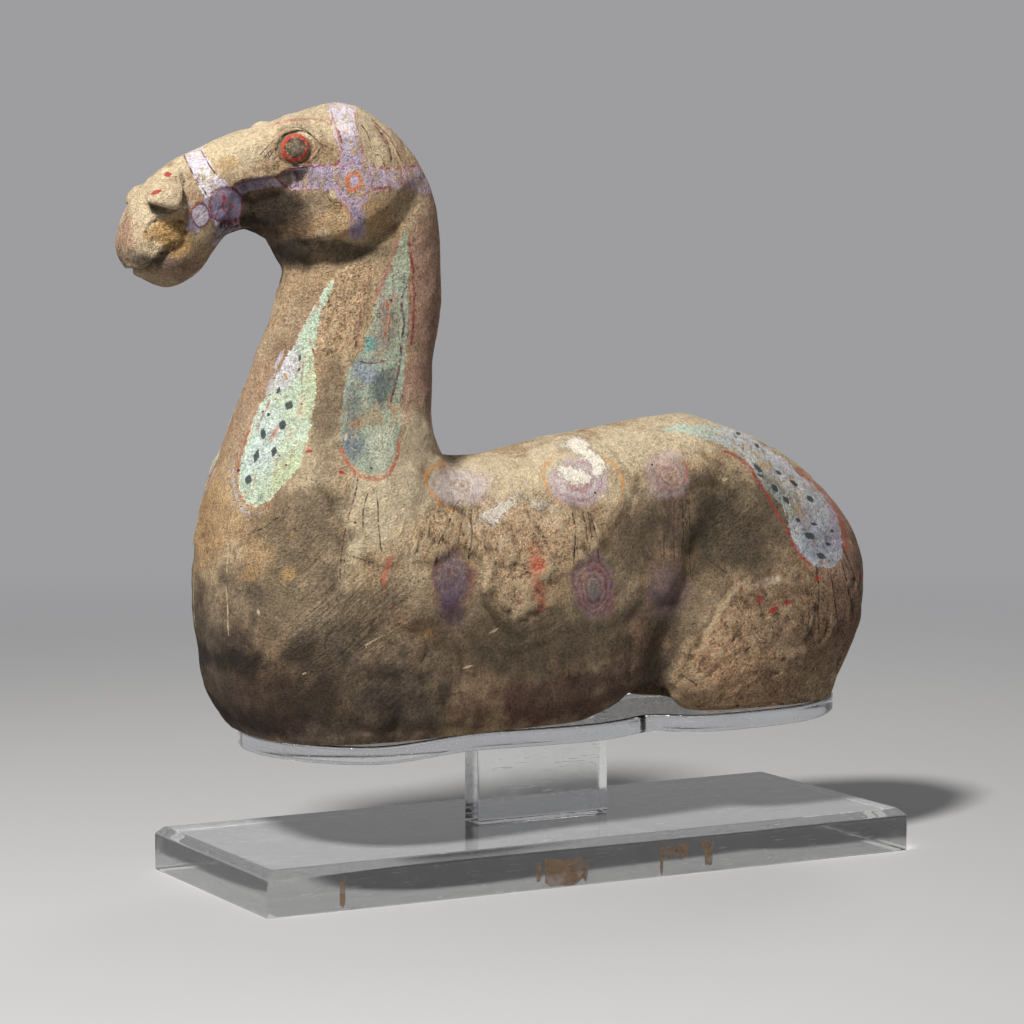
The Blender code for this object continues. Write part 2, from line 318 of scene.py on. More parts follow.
def outline_field(places, outline):
    """Distance to a closed outline, above zero inside it."""
    inside = np.zeros(places.shape[:-1], bool)
    nearest = np.full(places.shape[:-1], np.inf)
    x, y = places[..., 0], places[..., 1]
    for (ax, ay), (bx, by) in zip(outline, np.roll(outline, -1, axis=0)):
        run = (bx - ax) ** 2 + (by - ay) ** 2 + 1e-12
        t = np.clip(((x - ax) * (bx - ax) + (y - ay) * (by - ay)) / run, 0, 1)
        nearest = np.minimum(nearest, np.hypot(x - ax - t * (bx - ax), y - ay - t * (by - ay)))
        if ay != by:
            crosses = (ay > y) != (by > y)
            inside ^= crosses & (x < ax + (y - ay) * (bx - ax) / (by - ay))
    return np.where(inside, nearest, -nearest)


def blot(places, row, ragged, fade):
    """How strongly a patch covers each place: a row of middle, reach, lean and strength, with a
    ragged edge that fades out between two shares of its reach."""
    x, y, reach_x, reach_y, lean, strength = row
    c, s = math.cos(math.radians(lean)), math.sin(math.radians(lean))
    dx, dy = places[..., 0] - x, places[..., 1] - y
    away = np.hypot((c * dx + s * dy) / reach_x, (c * dy - s * dx) / reach_y)
    return strength * (1 - soft_step(away + ragged, *fade))


NOISE_TABLE = 4096
NOISE_STRIDES = (73856093, 19349663, 83492791)
NOISE_SHIFT = 1000.5


def noise(points, size, seed):
    """Smooth random values between -1 and 1 that change over the given size."""
    table = np.random.default_rng(seed).uniform(-1, 1, NOISE_TABLE)
    place = points / size + NOISE_SHIFT
    cell = np.floor(place).astype(np.int64)
    t = place - cell
    t = t**3 * (t * (6 * t - 15) + 10)
    total = np.zeros(place.shape[:-1])
    for corner in np.ndindex(2, 2, 2):
        kx, ky, kz = np.moveaxis((cell + corner) * NOISE_STRIDES, -1, 0)
        share = np.abs(1 - np.array(corner) - t).prod(axis=-1)
        total += table[(kx ^ ky ^ kz) % NOISE_TABLE] * share
    return total


def layered_noise(points, size, seed, layers=3, keep=0.5):
    """Noise with finer layers added, each half the size."""
    return sum(keep**i * noise(points, size / 2**i, seed + i) for i in range(layers))


# Worn surface of the clay

# Lines and outlines below are in the drawing's units
CREST = smooth_path([
    (226, 190), (233, 186), (241, 181.5), (256, 179), (266, 177.8), (276, 176), (288, 170.5), (300, 168),
    (312, 165.5),
])
EYE = (294.5, 148)
EYE_RADIUS = 14.2
UPPER_LID = smooth_path([
    (266, 151), (272, 143), (279, 135.5), (288, 130), (298, 131), (308, 137), (318, 146),
])
BROW_FOLD = smooth_path([(272, 138), (281, 130), (291, 126.5), (303, 128.5), (314, 137.5), (326, 146.5)])
LOWER_LID = smooth_path([(278, 158), (286, 164), (296, 166.5), (307, 163.5), (316, 155), (320, 147)])
NOSTRIL = smooth_path([
    (164, 173), (171, 171), (178.5, 173.5), (181, 180), (179.5, 190), (178, 200), (174.5, 207.5),
    (166, 206.5), (157, 204.5), (149.5, 202), (150.5, 196), (155, 188), (159.5, 180),
], closed=True)
NOSTRIL_HOLLOW = smooth_path([
    (148.5, 202), (157, 205.5), (166, 208), (174.5, 208.5), (178, 203), (178, 208), (173, 214),
    (163, 215.5), (155, 212.5), (149.5, 208.5),
], closed=True)
NOSTRIL_DENT = smooth_path([(181.5, 176), (183.5, 181.5), (182.5, 190), (181, 200)])
MOUTH = smooth_path([
    (112, 256.5), (118, 262), (125.5, 267), (134, 269.5), (143, 269), (151, 264.5), (158, 257.8),
    (165, 255.3), (173, 253.5),
])
BROKEN_LIP = smooth_path([
    (147, 224), (157, 216.5), (172, 217), (182.5, 219.5), (187, 230), (185.5, 243), (177, 251.5),
    (166, 254.5), (157, 256.5), (150, 249), (145, 237),
], closed=True)
JOWL_EDGE = smooth_path([
    (283, 236), (294, 239), (306, 239.5), (320, 237.5), (337, 237), (353, 240.5), (371, 235.5),
    (386, 227), (399, 216), (410, 202),
])
JOWL_RIM = smooth_path([(282, 191), (293, 197), (305, 206), (314, 217), (317, 227), (312, 238)])
CHEST_LEDGE = smooth_path([(240, 537), (247, 534.5), (255, 532), (264, 527), (271, 521), (278, 516)])
SHOULDER_SCRATCH = smooth_path([(338, 553), (355, 558), (373, 564)])
LOBE_EDGE = smooth_path([
    (822, 569), (805, 566), (783, 574), (757, 579), (731, 586), (718, 606), (707, 629), (697, 652),
    (684, 676), (676, 694),
])
CRUST = smooth_path([
    (408, 527), (436, 520), (462, 514), (483, 506), (518, 500), (552, 516), (590, 521), (606, 531),
    (604, 548), (589, 560), (573, 569), (566, 580), (553, 588), (542, 604), (527, 611), (519, 622),
    (512, 612), (498, 601), (487, 590), (482, 571), (470, 556), (448, 551), (431, 562), (414, 556),
    (398, 545),
], closed=True)
NECK_CRUMB = smooth_path([
    (334, 277), (352, 266), (368, 262), (371, 280), (364, 303), (358, 324), (349, 345), (330, 352),
    (319, 345), (318, 326), (322, 304), (328, 288),
], closed=True)
NECK_BAND = smooth_path([(331, 352), (329, 372), (327, 392), (326, 412), (322, 434), (318, 452)])

# Dents, ridges and brushed grooves: rise in millimetres, half-width and path
MARKS = [
    (-1.2, 2.2, [(305, 640), (318, 632), (333, 620)]),
    (-1, 1.8, [(303, 633), (315, 627), (330, 614)]),
    (-1.1, 2, [(309, 648), (322, 640), (338, 627)]),
    (-1, 1.8, [(325, 640), (343, 622), (352, 600), (356, 580)]),
    (-0.9, 1.7, [(334, 642), (353, 623), (363, 600), (367, 582)]),
    (-0.9, 1.7, [(344, 641), (363, 621), (373, 598)]),
    (1, 2.2, [(365.7, 645.3), (374, 640.5), (386, 634)]),
    (-1.6, 2.6, [(362.5, 646), (362.6, 646.6)]),
    (-2.2, 5, [(304, 656), (313, 649)]),
    (1.8, 4, [(251.4, 688.6), (262, 703), (274.6, 719)]),
    (-2.2, 5.5, [(268, 684), (279, 700), (293, 720)]),
    (1.6, 4, [(338, 672), (356, 667), (377, 655)]),
    (-2, 7, [(366, 668), (392, 676), (430, 682)]),
    (-1, 2, [(367, 676), (381, 684), (394, 703)]),
    (-1, 2, [(374, 672), (388, 681), (402, 700)]),
    (-0.9, 2, [(382, 669), (397, 679), (411, 697)]),
    (-1.6, 2.4, [(419, 635), (428, 649), (423, 660), (417, 668)]),
    (-1.4, 2.6, [(403, 649), (407, 655), (402, 660), (397, 655)]),
    (-1.8, 2.4, [(681, 676), (690, 679), (697, 682.5)]),
    (1.2, 3, [(682, 671), (692, 674), (699, 678)]),
    (-1.3, 1.8, [(708, 558), (717, 565), (728, 572)]),
    (-1.4, 2, [(213, 609), (225, 602)]),
    (-2.2, 4, [(243, 590), (249, 592)]),
    (-2.6, 6, [(640, 470), (633, 500), (616, 528), (604, 560)]),
    (1.8, 6, [(652, 500), (640, 530), (628, 566)]),
    (-2.6, 26, [(704, 520), (728, 532), (758, 540)]),
    (-2, 6, [(690, 492), (712, 484), (740, 498)]),
    (2, 6, [(690, 476), (716, 466), (744, 480), (764, 504)]),
    (-3.2, 7, [(664, 628), (656, 662), (650, 690)]),
    (1.8, 8, [(640, 560), (632, 600), (618, 640)]),
    (-1.8, 5, [(486, 600), (500, 622), (524, 640)]),
    (1.6, 5, [(470, 640), (500, 650), (540, 640), (575, 622)]),
    (-2, 6, [(455, 640), (462, 672), (448, 702)]),
    (-1.6, 5, [(600, 632), (630, 620), (648, 596)]),
    (-1.8, 3, [(368, 120), (385, 136), (392, 160)]),
    (-1.2, 3, [(330, 262), (350, 270), (372, 262)]),
    (-1.6, 3, [(318, 486), (330, 500), (334, 520)]),
]

# Rises and depths of the worn forms, in millimetres
CHEEK_DEPTH = 7.0
CREST_RISE = 1.2
EYEBALL_RISE = 2.6
EYE_GROOVE = 1.5
UPPER_LID_RISE = 1.9
LOWER_LID_RISE = 1.1
BROW_FOLD_DEPTH = 1.1
NOSTRIL_RISE = 5.6
NOSTRIL_DEPTH = 4.2
NOSTRIL_DENT_DEPTH = 1.6
MOUTH_DEPTH = 3.4
LIP_RISE = 1.6
JOWL_UNDERCUT = 3.6
JOWL_RISE = 1.2
JOWL_RIM_RISE = 1.6
CHANNEL_DEPTH = 1.6
LEDGE_DEPTH = 1.4
SCRATCH_DEPTH = 0.9
LOBE_RISE = 3.4

# Rises of the hand-modelled surface, in millimetres: everywhere, on the body, where grains are loose
# and in the sandy lobe
BROAD_RISE = 1.5
FINE_RISE = 0.55
LUMP_RISE = 0.25
BODY_LUMP_RISE = 1.1
GRAIN_RISE = 0.10
LOOSE_GRAIN_RISE = 0.38
DIMPLE_DEPTH = 0.4
SANDY_DIMPLE_DEPTH = 0.9
DIMPLED = (0.66, 0.95)

# Rises of crumbled clay and crust, in millimetres, and the noise value where far crust sets in
LIP_LOSS = 2.0
LIP_CRUMB_RISE = 0.9
NECK_CRUMB_RISE = 0.4
CRUST_RISE = 0.7
CRUST_FLAKE_RISE = 1.2
CRUST_CRUMB_RISE = 0.35
SCATTERED = (0.40, 0.47)

# How ragged the edges of broken places are, in the drawing's units
LIP_RAGGED = 2.2
NECK_RAGGED = 3.0
CRUST_RAGGED = 7.0
LOBE_RAGGED = 4.0

# How far the worn forms reach from their lines, in the drawing's units
CHEEK_REACH = 30
LEDGE_REACH = 3.5
EYE_GROOVE_PLACE = 1.13 * EYE_RADIUS
EYE_GROOVE_REACH = 0.12 * EYE_RADIUS
UPPER_LID_REACH = 2.4
LOWER_LID_REACH = 1.8
BROW_FOLD_REACH = 1.5
NOSTRIL_DENT_REACH = 2.0
MOUTH_REACH = 2.1
CHIN_REACH = 12
UNDERCUT_REACH = 24
JOWL_REACH = 10
RIM_RAISED_REACH = 22
RIM_SUNK_REACH = 18
CHANNEL_REACH = 11
CHIPPED_REACH = 12
SCRATCH_REACH = 1.6
LOBE_REACH = 34

# Where a form sets in, from the first to the second place of the drawing
NOSTRIL_FULL_Y = (172, 198)
SANDY_X = (690, 702)
SANDY_Y = (560, 574)
LUMPY_Y = (300, 470)

# Where scattered crust sets in on the far side, in millimetres above the floor and from the middle
FAR_CRUST_HEIGHT = (190, 260)
FAR_CRUST_OUT = (25, 45)

# How squarely the surface faces the drawing where its marks fade in, and how far out the near side
# begins, in metres
FACING = (0.02, 0.22)
NEAR_SIDE = (-0.004, 0.012)


class Surface:
    """The horse's bare form, with what its relief and its paint are worked out from."""

    def __init__(self, rings):
        self.points = rings
        self.millimetres = rings * 1000
        self.normals = outward(rings)
        self.places = drawing_places(rings)
        self.shows = soft_step(facing_drawing(rings, self.normals), *FACING)
        self.near_side = soft_step(-rings[..., 1], *NEAR_SIDE)

    def along(self, path):
        """Signed and plain distance to a line of the drawing, and the share of it reached."""
        return path_field(self.places, path)

    def within(self, outline):
        """Distance to an outline of the drawing, above zero inside it."""
        return outline_field(self.places, outline)

    def rough(self, size, seed, layers=3, keep=0.5):
        """Layered noise over the surface, its size in millimetres."""
        return layered_noise(self.millimetres, size, seed, layers, keep)


def marks(places):
    """Rise of all the dents and ridges at each place of the drawing."""
    rise = np.zeros(places.shape[:-1])
    for amount, width, path in MARKS:
        path = smooth_path(path)
        reach = 3 * width
        around = np.all((places > path.min(axis=0) - reach) & (places < path.max(axis=0) + reach), axis=-1)
        _, far, share = path_field(places[around], path)
        ends = at_least(0.3, np.sin(np.pi * np.clip(share, 0, 1)) ** 0.5)
        rise[around] += amount * ends * bell(far, width)
    return rise


def crest_relief(s):
    """Facial crest: the cheek is sunken under a hard ledge."""
    below, far, share = s.along(CREST)
    cheek = CHEEK_DEPTH * soft_step(below, -1.0, 4.0) * bell(below, CHEEK_REACH) * (below > -4)
    ledge = CREST_RISE * bell(below + 3, LEDGE_REACH) * (far < 14)
    return (ledge - cheek) * tapered(share, 0.3, 0.8) * s.shows


def eye_relief(s):
    """A domed eyeball in a groove, with folded lids."""
    away = np.linalg.norm(s.places - EYE, axis=-1)
    rise = EYEBALL_RISE * np.sqrt(np.clip(1 - (away / EYE_RADIUS) ** 2, 0, 1))
    rise -= EYE_GROOVE * bell(away - EYE_GROOVE_PLACE, EYE_GROOVE_REACH)
    upper = (UPPER_LID, UPPER_LID_RISE, UPPER_LID_REACH)
    lower = (LOWER_LID, LOWER_LID_RISE, LOWER_LID_REACH)
    for lid, height, reach in (upper, lower):
        _, far, share = s.along(lid)
        rise += height * bell(far, reach) * tapered(share, 0.15, 0.85)
    _, far, share = s.along(BROW_FOLD)
    rise -= BROW_FOLD_DEPTH * bell(far, BROW_FOLD_REACH) * (1 - soft_step(share, 0.9, 1.0))
    return rise * s.shows


def nostril_relief(s):
    """A raised leaf whose lower edge overhangs a hollow, lower on the far side."""
    leaf = NOSTRIL_RISE * soft_step(s.within(NOSTRIL), -1.0, 2.2)
    leaf *= at_least(0.25, soft_step(s.places[..., 1], *NOSTRIL_FULL_Y)) * at_least(0.25, s.near_side)
    hollow = NOSTRIL_DEPTH * soft_step(s.within(NOSTRIL_HOLLOW), -1.4, 1.6)
    _, far, share = s.along(NOSTRIL_DENT)
    dent = NOSTRIL_DENT_DEPTH * bell(far, NOSTRIL_DENT_REACH) * (1 - share)
    return (leaf - hollow * at_least(0.4, s.near_side) - dent) * s.shows


def mouth_relief(s):
    """The upper lip overhangs the mouth and the chin."""
    below, far, share = s.along(MOUTH)
    lip = LIP_RISE * bell(below + 4.5, 3.0) * (far < 12) - MOUTH_DEPTH * bell(far, MOUTH_REACH)
    chin = soft_step(below, 0.5, 3.0) * bell(below, CHIN_REACH)
    return (lip - chin) * (1 - soft_step(share, 0.75, 1.0)) * s.shows


def broken_lip(s):
    """Where the side of the lips is broken away, and the relief there."""
    ragged = LIP_RAGGED * s.rough(7, seed=11)
    broken = soft_step(s.within(BROKEN_LIP) + ragged, -1.0, 2.0) * s.shows
    return broken, -broken * (LIP_LOSS + LIP_CRUMB_RISE * s.rough(5.5, seed=12, keep=0.7))


def jowl_relief(s):
    """The round jowl overhangs the neck, and its rim catches the light."""
    below, far, share = s.along(JOWL_EDGE)
    undercut = JOWL_UNDERCUT * soft_step(below, -2.0, 6.0) * bell(below, UNDERCUT_REACH) * (below > -5)
    edge = (JOWL_RISE * bell(below + 12, JOWL_REACH) * (far < 35) - undercut) * tapered(share, 0.18, 0.82)
    left, far, share = s.along(JOWL_RIM)
    raised = soft_step(-left, -5.0, 6.0) * bell(left, RIM_RAISED_REACH) * (far < 45)
    sunk = soft_step(left, -5.0, 5.0) * bell(left, RIM_SUNK_REACH) * (far < 40)
    return (edge + JOWL_RIM_RISE * (raised - sunk) * tapered(share, 0.2, 0.85)) * s.shows


def neck_crumbs(s):
    """The crumbled patch of the neck, and the relief there and in the channel below it."""
    ragged = NECK_RAGGED * s.rough(9, seed=21)
    crumb = soft_step(s.within(NECK_CRUMB) + ragged, -2.0, 3.0) * s.shows * s.near_side
    _, far, _ = s.along(NECK_BAND)
    channel = CHANNEL_DEPTH * bell(far, CHANNEL_REACH) * s.shows * s.near_side
    return crumb, crumb * (NECK_CRUMB_RISE + s.rough(7, seed=22, keep=0.7)) - channel


def chest_relief(s):
    """A chipped ledge on the chest and a scratch on the shoulder."""
    below, far, _ = s.along(CHEST_LEDGE)
    ledge = LEDGE_DEPTH * soft_step(below, -0.5, 2.0) * bell(below, CHIPPED_REACH) * (far < 30)
    _, far, _ = s.along(SHOULDER_SCRATCH)
    return -(ledge + SCRATCH_DEPTH * bell(far, SCRATCH_REACH)) * s.near_side


def barrel_crust(s):
    """Crust that flakes off along a ragged edge, in scattered patches on the far side, and its
    relief."""
    ragged = CRUST_RAGGED * s.rough(20, seed=31, layers=4, keep=0.6)
    near = soft_step(s.within(CRUST) + ragged, -0.6, 1.2) * s.near_side * s.shows
    high = soft_step(s.millimetres[..., 2], *FAR_CRUST_HEIGHT)
    far_side = soft_step(s.millimetres[..., 1], *FAR_CRUST_OUT)
    scattered = soft_step(s.rough(95, seed=32, layers=4, keep=0.55), *SCATTERED)
    crust = np.maximum(near, scattered * far_side * high)
    flakes = soft_step(s.rough(17, seed=33, keep=0.6), -0.06, 0.06)
    crumbs = s.rough(9, seed=36, layers=2, keep=0.6)
    return crust, crust * (CRUST_RISE + CRUST_FLAKE_RISE * flakes + CRUST_CRUMB_RISE * crumbs)


def haunch_lobe(s):
    """The sandy lobe of the haunch, which stands proud of the smooth flank, and its relief."""
    right, _, share = s.along(LOBE_EDGE)
    right = right + LOBE_RAGGED * s.rough(16, seed=41, keep=0.6)
    ends = at_least(0.15, soft_step(share, 0.26, 0.48)) * (1 - soft_step(share, 0.93, 1.0))
    lobe = soft_step(-right, -1.0, 3.0) * s.shows
    sandy = lobe * soft_step(s.places[..., 0], *SANDY_X) * soft_step(s.places[..., 1], *SANDY_Y)
    return sandy, LOBE_RISE * lobe * bell(right, LOBE_REACH) * ends


def worn_relief(s):
    """Hand-modelled unevenness, lumps, dents, grains and dimples everywhere."""
    body = soft_step(s.places[..., 1], *LUMPY_Y)
    lumps = np.minimum(np.abs(s.rough(46, seed=61, layers=2)) * 2.2, 1)
    dimples = soft_step(s.rough(10, seed=58, layers=2), *DIMPLED)
    loose = np.maximum(s.sandy, s.crust)
    rise = BROAD_RISE * s.rough(62, seed=51, layers=2)
    rise += FINE_RISE * s.rough(17, seed=54, layers=2, keep=0.6)
    rise += (LUMP_RISE + BODY_LUMP_RISE * body) * (lumps - 0.6) + marks(s.places) * s.near_side
    rise += (GRAIN_RISE + LOOSE_GRAIN_RISE * loose) * s.rough(6.5, seed=56, layers=2, keep=0.7)
    return rise - (DIMPLE_DEPTH + SANDY_DIMPLE_DEPTH * s.sandy) * dimples


def add_relief(s):
    """Works out the broken places and how far the worn surface stands above the bare form, in
    metres."""
    s.broken, lips = broken_lip(s)
    s.neck_crumb, neck = neck_crumbs(s)
    s.crust, barrel = barrel_crust(s)
    s.sandy, haunch = haunch_lobe(s)
    head = crest_relief(s) + eye_relief(s) + nostril_relief(s) + mouth_relief(s) + jowl_relief(s)
    rise = head + lips + neck + chest_relief(s) + barrel + haunch + worn_relief(s)
    # The underside stays where it rests
    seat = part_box("horse")[0][2] * 1000
    s.rise = rise * soft_step(s.millimetres[..., 2], seat + 0.5, seat + 9) / 1000


def add_object(name, data):
    """Puts a new object in the scene."""
    made = bpy.data.objects.new(name, data)
    bpy.context.scene.collection.objects.link(made)
    return made


def grid_mesh(name, rings):
    """A closed mesh through closed rings, with flat ends."""
    count, around = rings.shape[:2]
    index = np.arange(count * around).reshape(count, around)
    ahead = np.roll(index, -1, axis=1)
    quads = np.stack([index[:-1], ahead[:-1], ahead[1:], index[1:]], axis=-1).reshape(-1, 4)
    faces = quads.tolist() + [index[0][::-1].tolist(), index[-1].tolist()]
    mesh = bpy.data.meshes.new(name)
    mesh.from_pydata(rings.reshape(-1, 3).tolist(), [], faces)
    mesh.validate()
    builder = bmesh.new()
    builder.from_mesh(mesh)
    bmesh.ops.recalc_face_normals(builder, faces=builder.faces)
    builder.to_mesh(mesh)
    builder.free()
    mesh.shade_smooth()
    return add_object(name, mesh)


def set_attribute(piece, name, values, domain="POINT"):
    """Stores one number or three for each point or face of a piece."""
    kind = "FLOAT_VECTOR" if values.ndim == 2 else "FLOAT"
    made = piece.data.attributes.new(name, kind, domain)
    made.data.foreach_set("vector" if kind == "FLOAT_VECTOR" else "value", values.astype(np.float32).ravel())


# Colours of the clay, and the paint

def srgb(red, green, blue):
    """Linear colour from its 0 to 255 values on a screen."""
    share = np.array([red, green, blue]) / 255
    return np.where(share <= 0.04045, share / 12.92, ((share + 0.055) / 1.055) ** 2.4)


TAN = srgb(176, 149, 116)
CREAM = srgb(208, 190, 158)
OCHRE = srgb(180, 140, 92)
SANDY = srgb(196, 153, 117)
LIGHT_CRUST = srgb(206, 172, 136)
# Olive and dark clay, also used as painted shade on the horse
OLIVE_CLAY_AND_SHADE = srgb(126, 110, 88)
DARK_CLAY_AND_SHADE = srgb(76, 66, 52)
GREY = srgb(92, 84, 76)
RED_BROWN = srgb(110, 80, 67)
PINK_BROWN = srgb(170, 134, 114)
GOLD = srgb(194, 154, 98)
SMEAR_RED = srgb(222, 76, 54)

# A patch is a row of its middle, reach and lean in the drawing, and its strength. It fades out
# between two shares of its reach
GROUND_FADE = (0.55, 1.25)
SHADE_AND_GRIME_FADE = (0.35, 1.35)
TINT_FADE = (0.5, 1.3)
BRUSHED_FADE = (0.5, 1.1)

# How ragged the edges of patches are, as a share of their reach
GROUND_RAGGED = 0.32
SHADE_AND_GRIME_RAGGED = 0.24
TINT_RAGGED = 0.3

# How gritty the plain tan is, and how much of the red smears the far side keeps
TAN_GRIT = 1.1
FAR_SMEAR_SHARE = 0.25

# How much cream the tan has, how far a broad noise changes that, and the most there is
CREAM_SHARE = 0.15
BROAD_DRIFT = 0.5
CREAM_MOST = 0.6

# How strongly crust, crumbled neck and sandy lobe take their own colours, and how evenly
CRUST_COLORED = 0.85
NECK_COLORED = 0.7
SANDY_COLORED = 0.75
EVENNESS = 0.8

# Where the sandy cover thins out towards the rump, as x less half of y, and by how much
REARWARD = (400, 470)
SANDY_LOSS = 0.75

# Patches of each clay colour, with how gritty it is. The dark and olive patches are painted shade as well as
# darker clay where they lie under the nostril, the upper lip, the jaw and the strap, in the flank hollow and
# low on the chest and barrel
GROUND = [
    (PINK_BROWN, 1.1, [
        (178, 266, 34, 18, -18, 0.7), (128, 226, 14, 40, 12, 0.6), (428, 300, 20, 130, 0, 0.9),
        (410, 388, 16, 30, -10, 0.6), (850, 570, 26, 100, -8, 0.75), (255, 400, 14, 70, 22, 0.4),
        (170, 200, 30, 24, -30, 0.35), (400, 130, 18, 34, -35, 0.4),
    ]),
    (CREAM, 0.6, [
        (226, 150, 66, 26, -24, 0.8), (300, 116, 78, 22, -6, 0.7), (156, 200, 30, 34, 20, 0.75),
        (139, 224, 10, 18, 10, 0.5), (610, 490, 26, 22, 0, 0.7), (746, 584, 20, 6, -14, 0.5),
        (722, 612, 14, 24, 26, 0.4), (320, 214, 28, 20, 0, 0.5), (366, 130, 36, 26, 40, 0.6),
        (384, 480, 44, 26, -10, 0.7), (422, 448, 22, 34, 0, 0.9), (526, 512, 40, 14, -4, 0.5),
        (505, 476, 105, 24, -8, 0.85), (620, 448, 90, 24, -6, 0.9), (700, 425, 80, 12, 8, 0.8),
        (378, 516, 42, 48, 0, 0.95), (312, 440, 36, 60, 18, 0.3), (455, 450, 30, 18, 0, 0.5),
    ]),
    (OCHRE, 1.25, [
        (225, 300, 20, 50, 20, 0.3), (262, 560, 26, 30, 0, 0.2), (217, 520, 22, 60, 0, 0.5),
        (352, 215, 36, 26, 0, 0.5), (300, 225, 26, 16, -20, 0.5), (430, 630, 20, 12, 0, 0.5),
    ]),
    (RED_BROWN, 1.25, [
        (560, 702, 110, 26, -3, 0.9), (640, 640, 30, 60, 12, 0.7), (812, 630, 60, 84, -8, 0.5),
        (270, 722, 60, 16, 6, 0.8), (440, 650, 34, 44, 0, 0.5), (240, 690, 30, 30, 0, 0.5),
    ]),
    # Olive clay, and painted shade in the flank hollow and under the jowl
    (OLIVE_CLAY_AND_SHADE, 1, [
        (302, 548, 46, 66, 14, 0.95), (352, 622, 62, 38, -20, 0.7), (328, 404, 17, 46, 4, 0.65),
        (742, 520, 66, 52, 24, 0.9), (300, 606, 84, 40, 6, 0.75), (688, 612, 20, 60, 20, 0.85),
        (722, 600, 20, 26, 30, 0.7), (628, 552, 26, 84, 42, 0.85), (560, 636, 92, 36, -18, 0.85),
        (232, 640, 34, 26, 0, 0.5), (478, 640, 40, 40, 0, 0.5), (330, 256, 66, 12, -4, 0.6),
    ]),
    (GREY, 1.1, [
        (402, 704, 48, 40, 0, 0.6), (322, 652, 44, 26, -14, 0.5), (250, 590, 16, 20, 0, 0.4),
        (150, 258, 28, 9, 10, 0.4), (655, 672, 16, 30, 8, 0.6),
    ]),
    # Dark clay, and painted shadow under the nostril, the upper lip, the jaw and the strap, in the flank
    # hollow and on the underside
    (DARK_CLAY_AND_SHADE, 1.25, [
        (238, 662, 34, 15, 4, 0.85), (302, 700, 48, 24, 20, 0.6), (258, 214, 44, 22, -12, 0.75),
        (330, 250, 56, 8, 0, 0.35), (726, 532, 48, 38, 18, 0.45), (648, 700, 26, 14, -20, 0.8),
        (160, 209.5, 12, 3.4, 22, 0.6), (300, 252, 20, 20, -10, 0.6), (590, 690, 60, 24, -14, 0.35),
        (700, 650, 14, 34, 20, 0.35), (150, 259, 14, 4, 14, 0.6), (768, 672, 12, 9, 0, 0.5),
        (780, 640, 30, 12, -30, 0.35),
    ]),
    (SMEAR_RED, 0.9, [
        (537, 560, 8, 17, -4, 0.95), (535, 572, 6, 15, 4, 0.8), (538, 592, 8, 17, -6, 0.6),
        (390, 562, 4, 10, 8, 0.55), (385, 578, 4, 9, 4, 0.55),
    ]),
    (srgb(140, 66, 66), 0.9, [
        (471, 582, 7, 20, 0, 0.45), (448, 572, 10, 7, 0, 0.3), (612, 604, 8, 20, 16, 0.5),
    ]),
    (srgb(106, 86, 110), 0.9, [(453, 609, 11, 16, 4, 0.6), (458, 592, 16, 14, 4, 0.45)]),
    (srgb(236, 218, 198), 0.6, [
        (498, 512, 28, 11, -26, 0.85), (538, 504, 11, 6, 0, 0.8), (503, 545, 5, 9, 0, 0.6),
        (552, 524, 14, 5, 0, 0.4), (770, 582, 14, 4, -8, 0.5),
    ]),
    (GOLD, 0.95, [
        (164, 230, 22, 13, -24, 0.9), (178, 243, 15, 13, -20, 0.8), (226, 163, 13, 8, -10, 0.5),
        (288, 574, 7, 6, 0, 0.7), (248, 575, 9, 8, 10, 0.5), (294, 534, 6, 5, 0, 0.5),
        (428, 634, 7, 5, 0, 0.7), (341, 711, 10, 6, 0, 0.4),
    ]),
]

# Painted shade, with some grime, darkens whatever is under it: under the jaw, the jowl, the strap and the
# upper lip, in the flank hollow and low on the chest, barrel and haunch
SHADE_AND_GRIME_TONE = np.array([0.26, 0.245, 0.265])
SHADE_AND_GRIME = [
    (238, 668, 76, 46, 6, 0.97), (300, 706, 130, 62, 4, 0.99), (400, 700, 74, 50, 0, 0.6),
    (330, 660, 70, 32, -18, 0.66), (560, 712, 150, 30, -3, 0.2), (560, 650, 130, 40, -10, 0.62),
    (655, 640, 24, 66, 14, 0.25), (800, 640, 70, 60, -6, 0.05), (400, 645, 40, 34, 0, 0.4),
    (668, 545, 46, 36, 20, 0.4), (712, 572, 26, 20, 0, 0.35), (850, 600, 30, 90, -10, 0.2),
    (268, 220, 60, 34, -12, 0.97), (290, 248, 28, 28, -6, 0.9), (340, 251, 60, 8, 0, 0.3),
    (290, 330, 14, 60, 22, 0.25), (740, 532, 72, 50, 20, 0.42), (692, 505, 30, 40, 24, 0.4),
    (250, 692, 64, 44, 0, 0.8), (300, 720, 120, 26, 4, 0.7), (148, 261, 26, 7, 8, 0.35),
    (205, 636, 32, 64, 0, 0.8), (246, 600, 50, 36, 0, 0.25), (274, 238, 22, 32, 30, 0.6),
    (250, 222, 30, 24, 0, 0.4), (330, 446, 18, 44, 0, 0.35), (368, 392, 30, 40, 4, 0.35),
    (426, 366, 24, 50, 0, 0.25), (652, 520, 30, 50, 20, 0.35), (120, 252, 12, 12, 0, 0.35),
    (625, 540, 26, 60, 36, 0.3), (480, 640, 46, 40, 0, 0.45), (735, 560, 30, 14, -10, 0.25),
    (328, 404, 17, 50, 4, 0.2), (176, 270, 40, 18, -16, 0.4), (410, 610, 50, 40, 0, 0.3),
]


def blend(color, tone, share):
    """A colour taken towards a tone."""
    return color + (tone - color) * share[..., None]


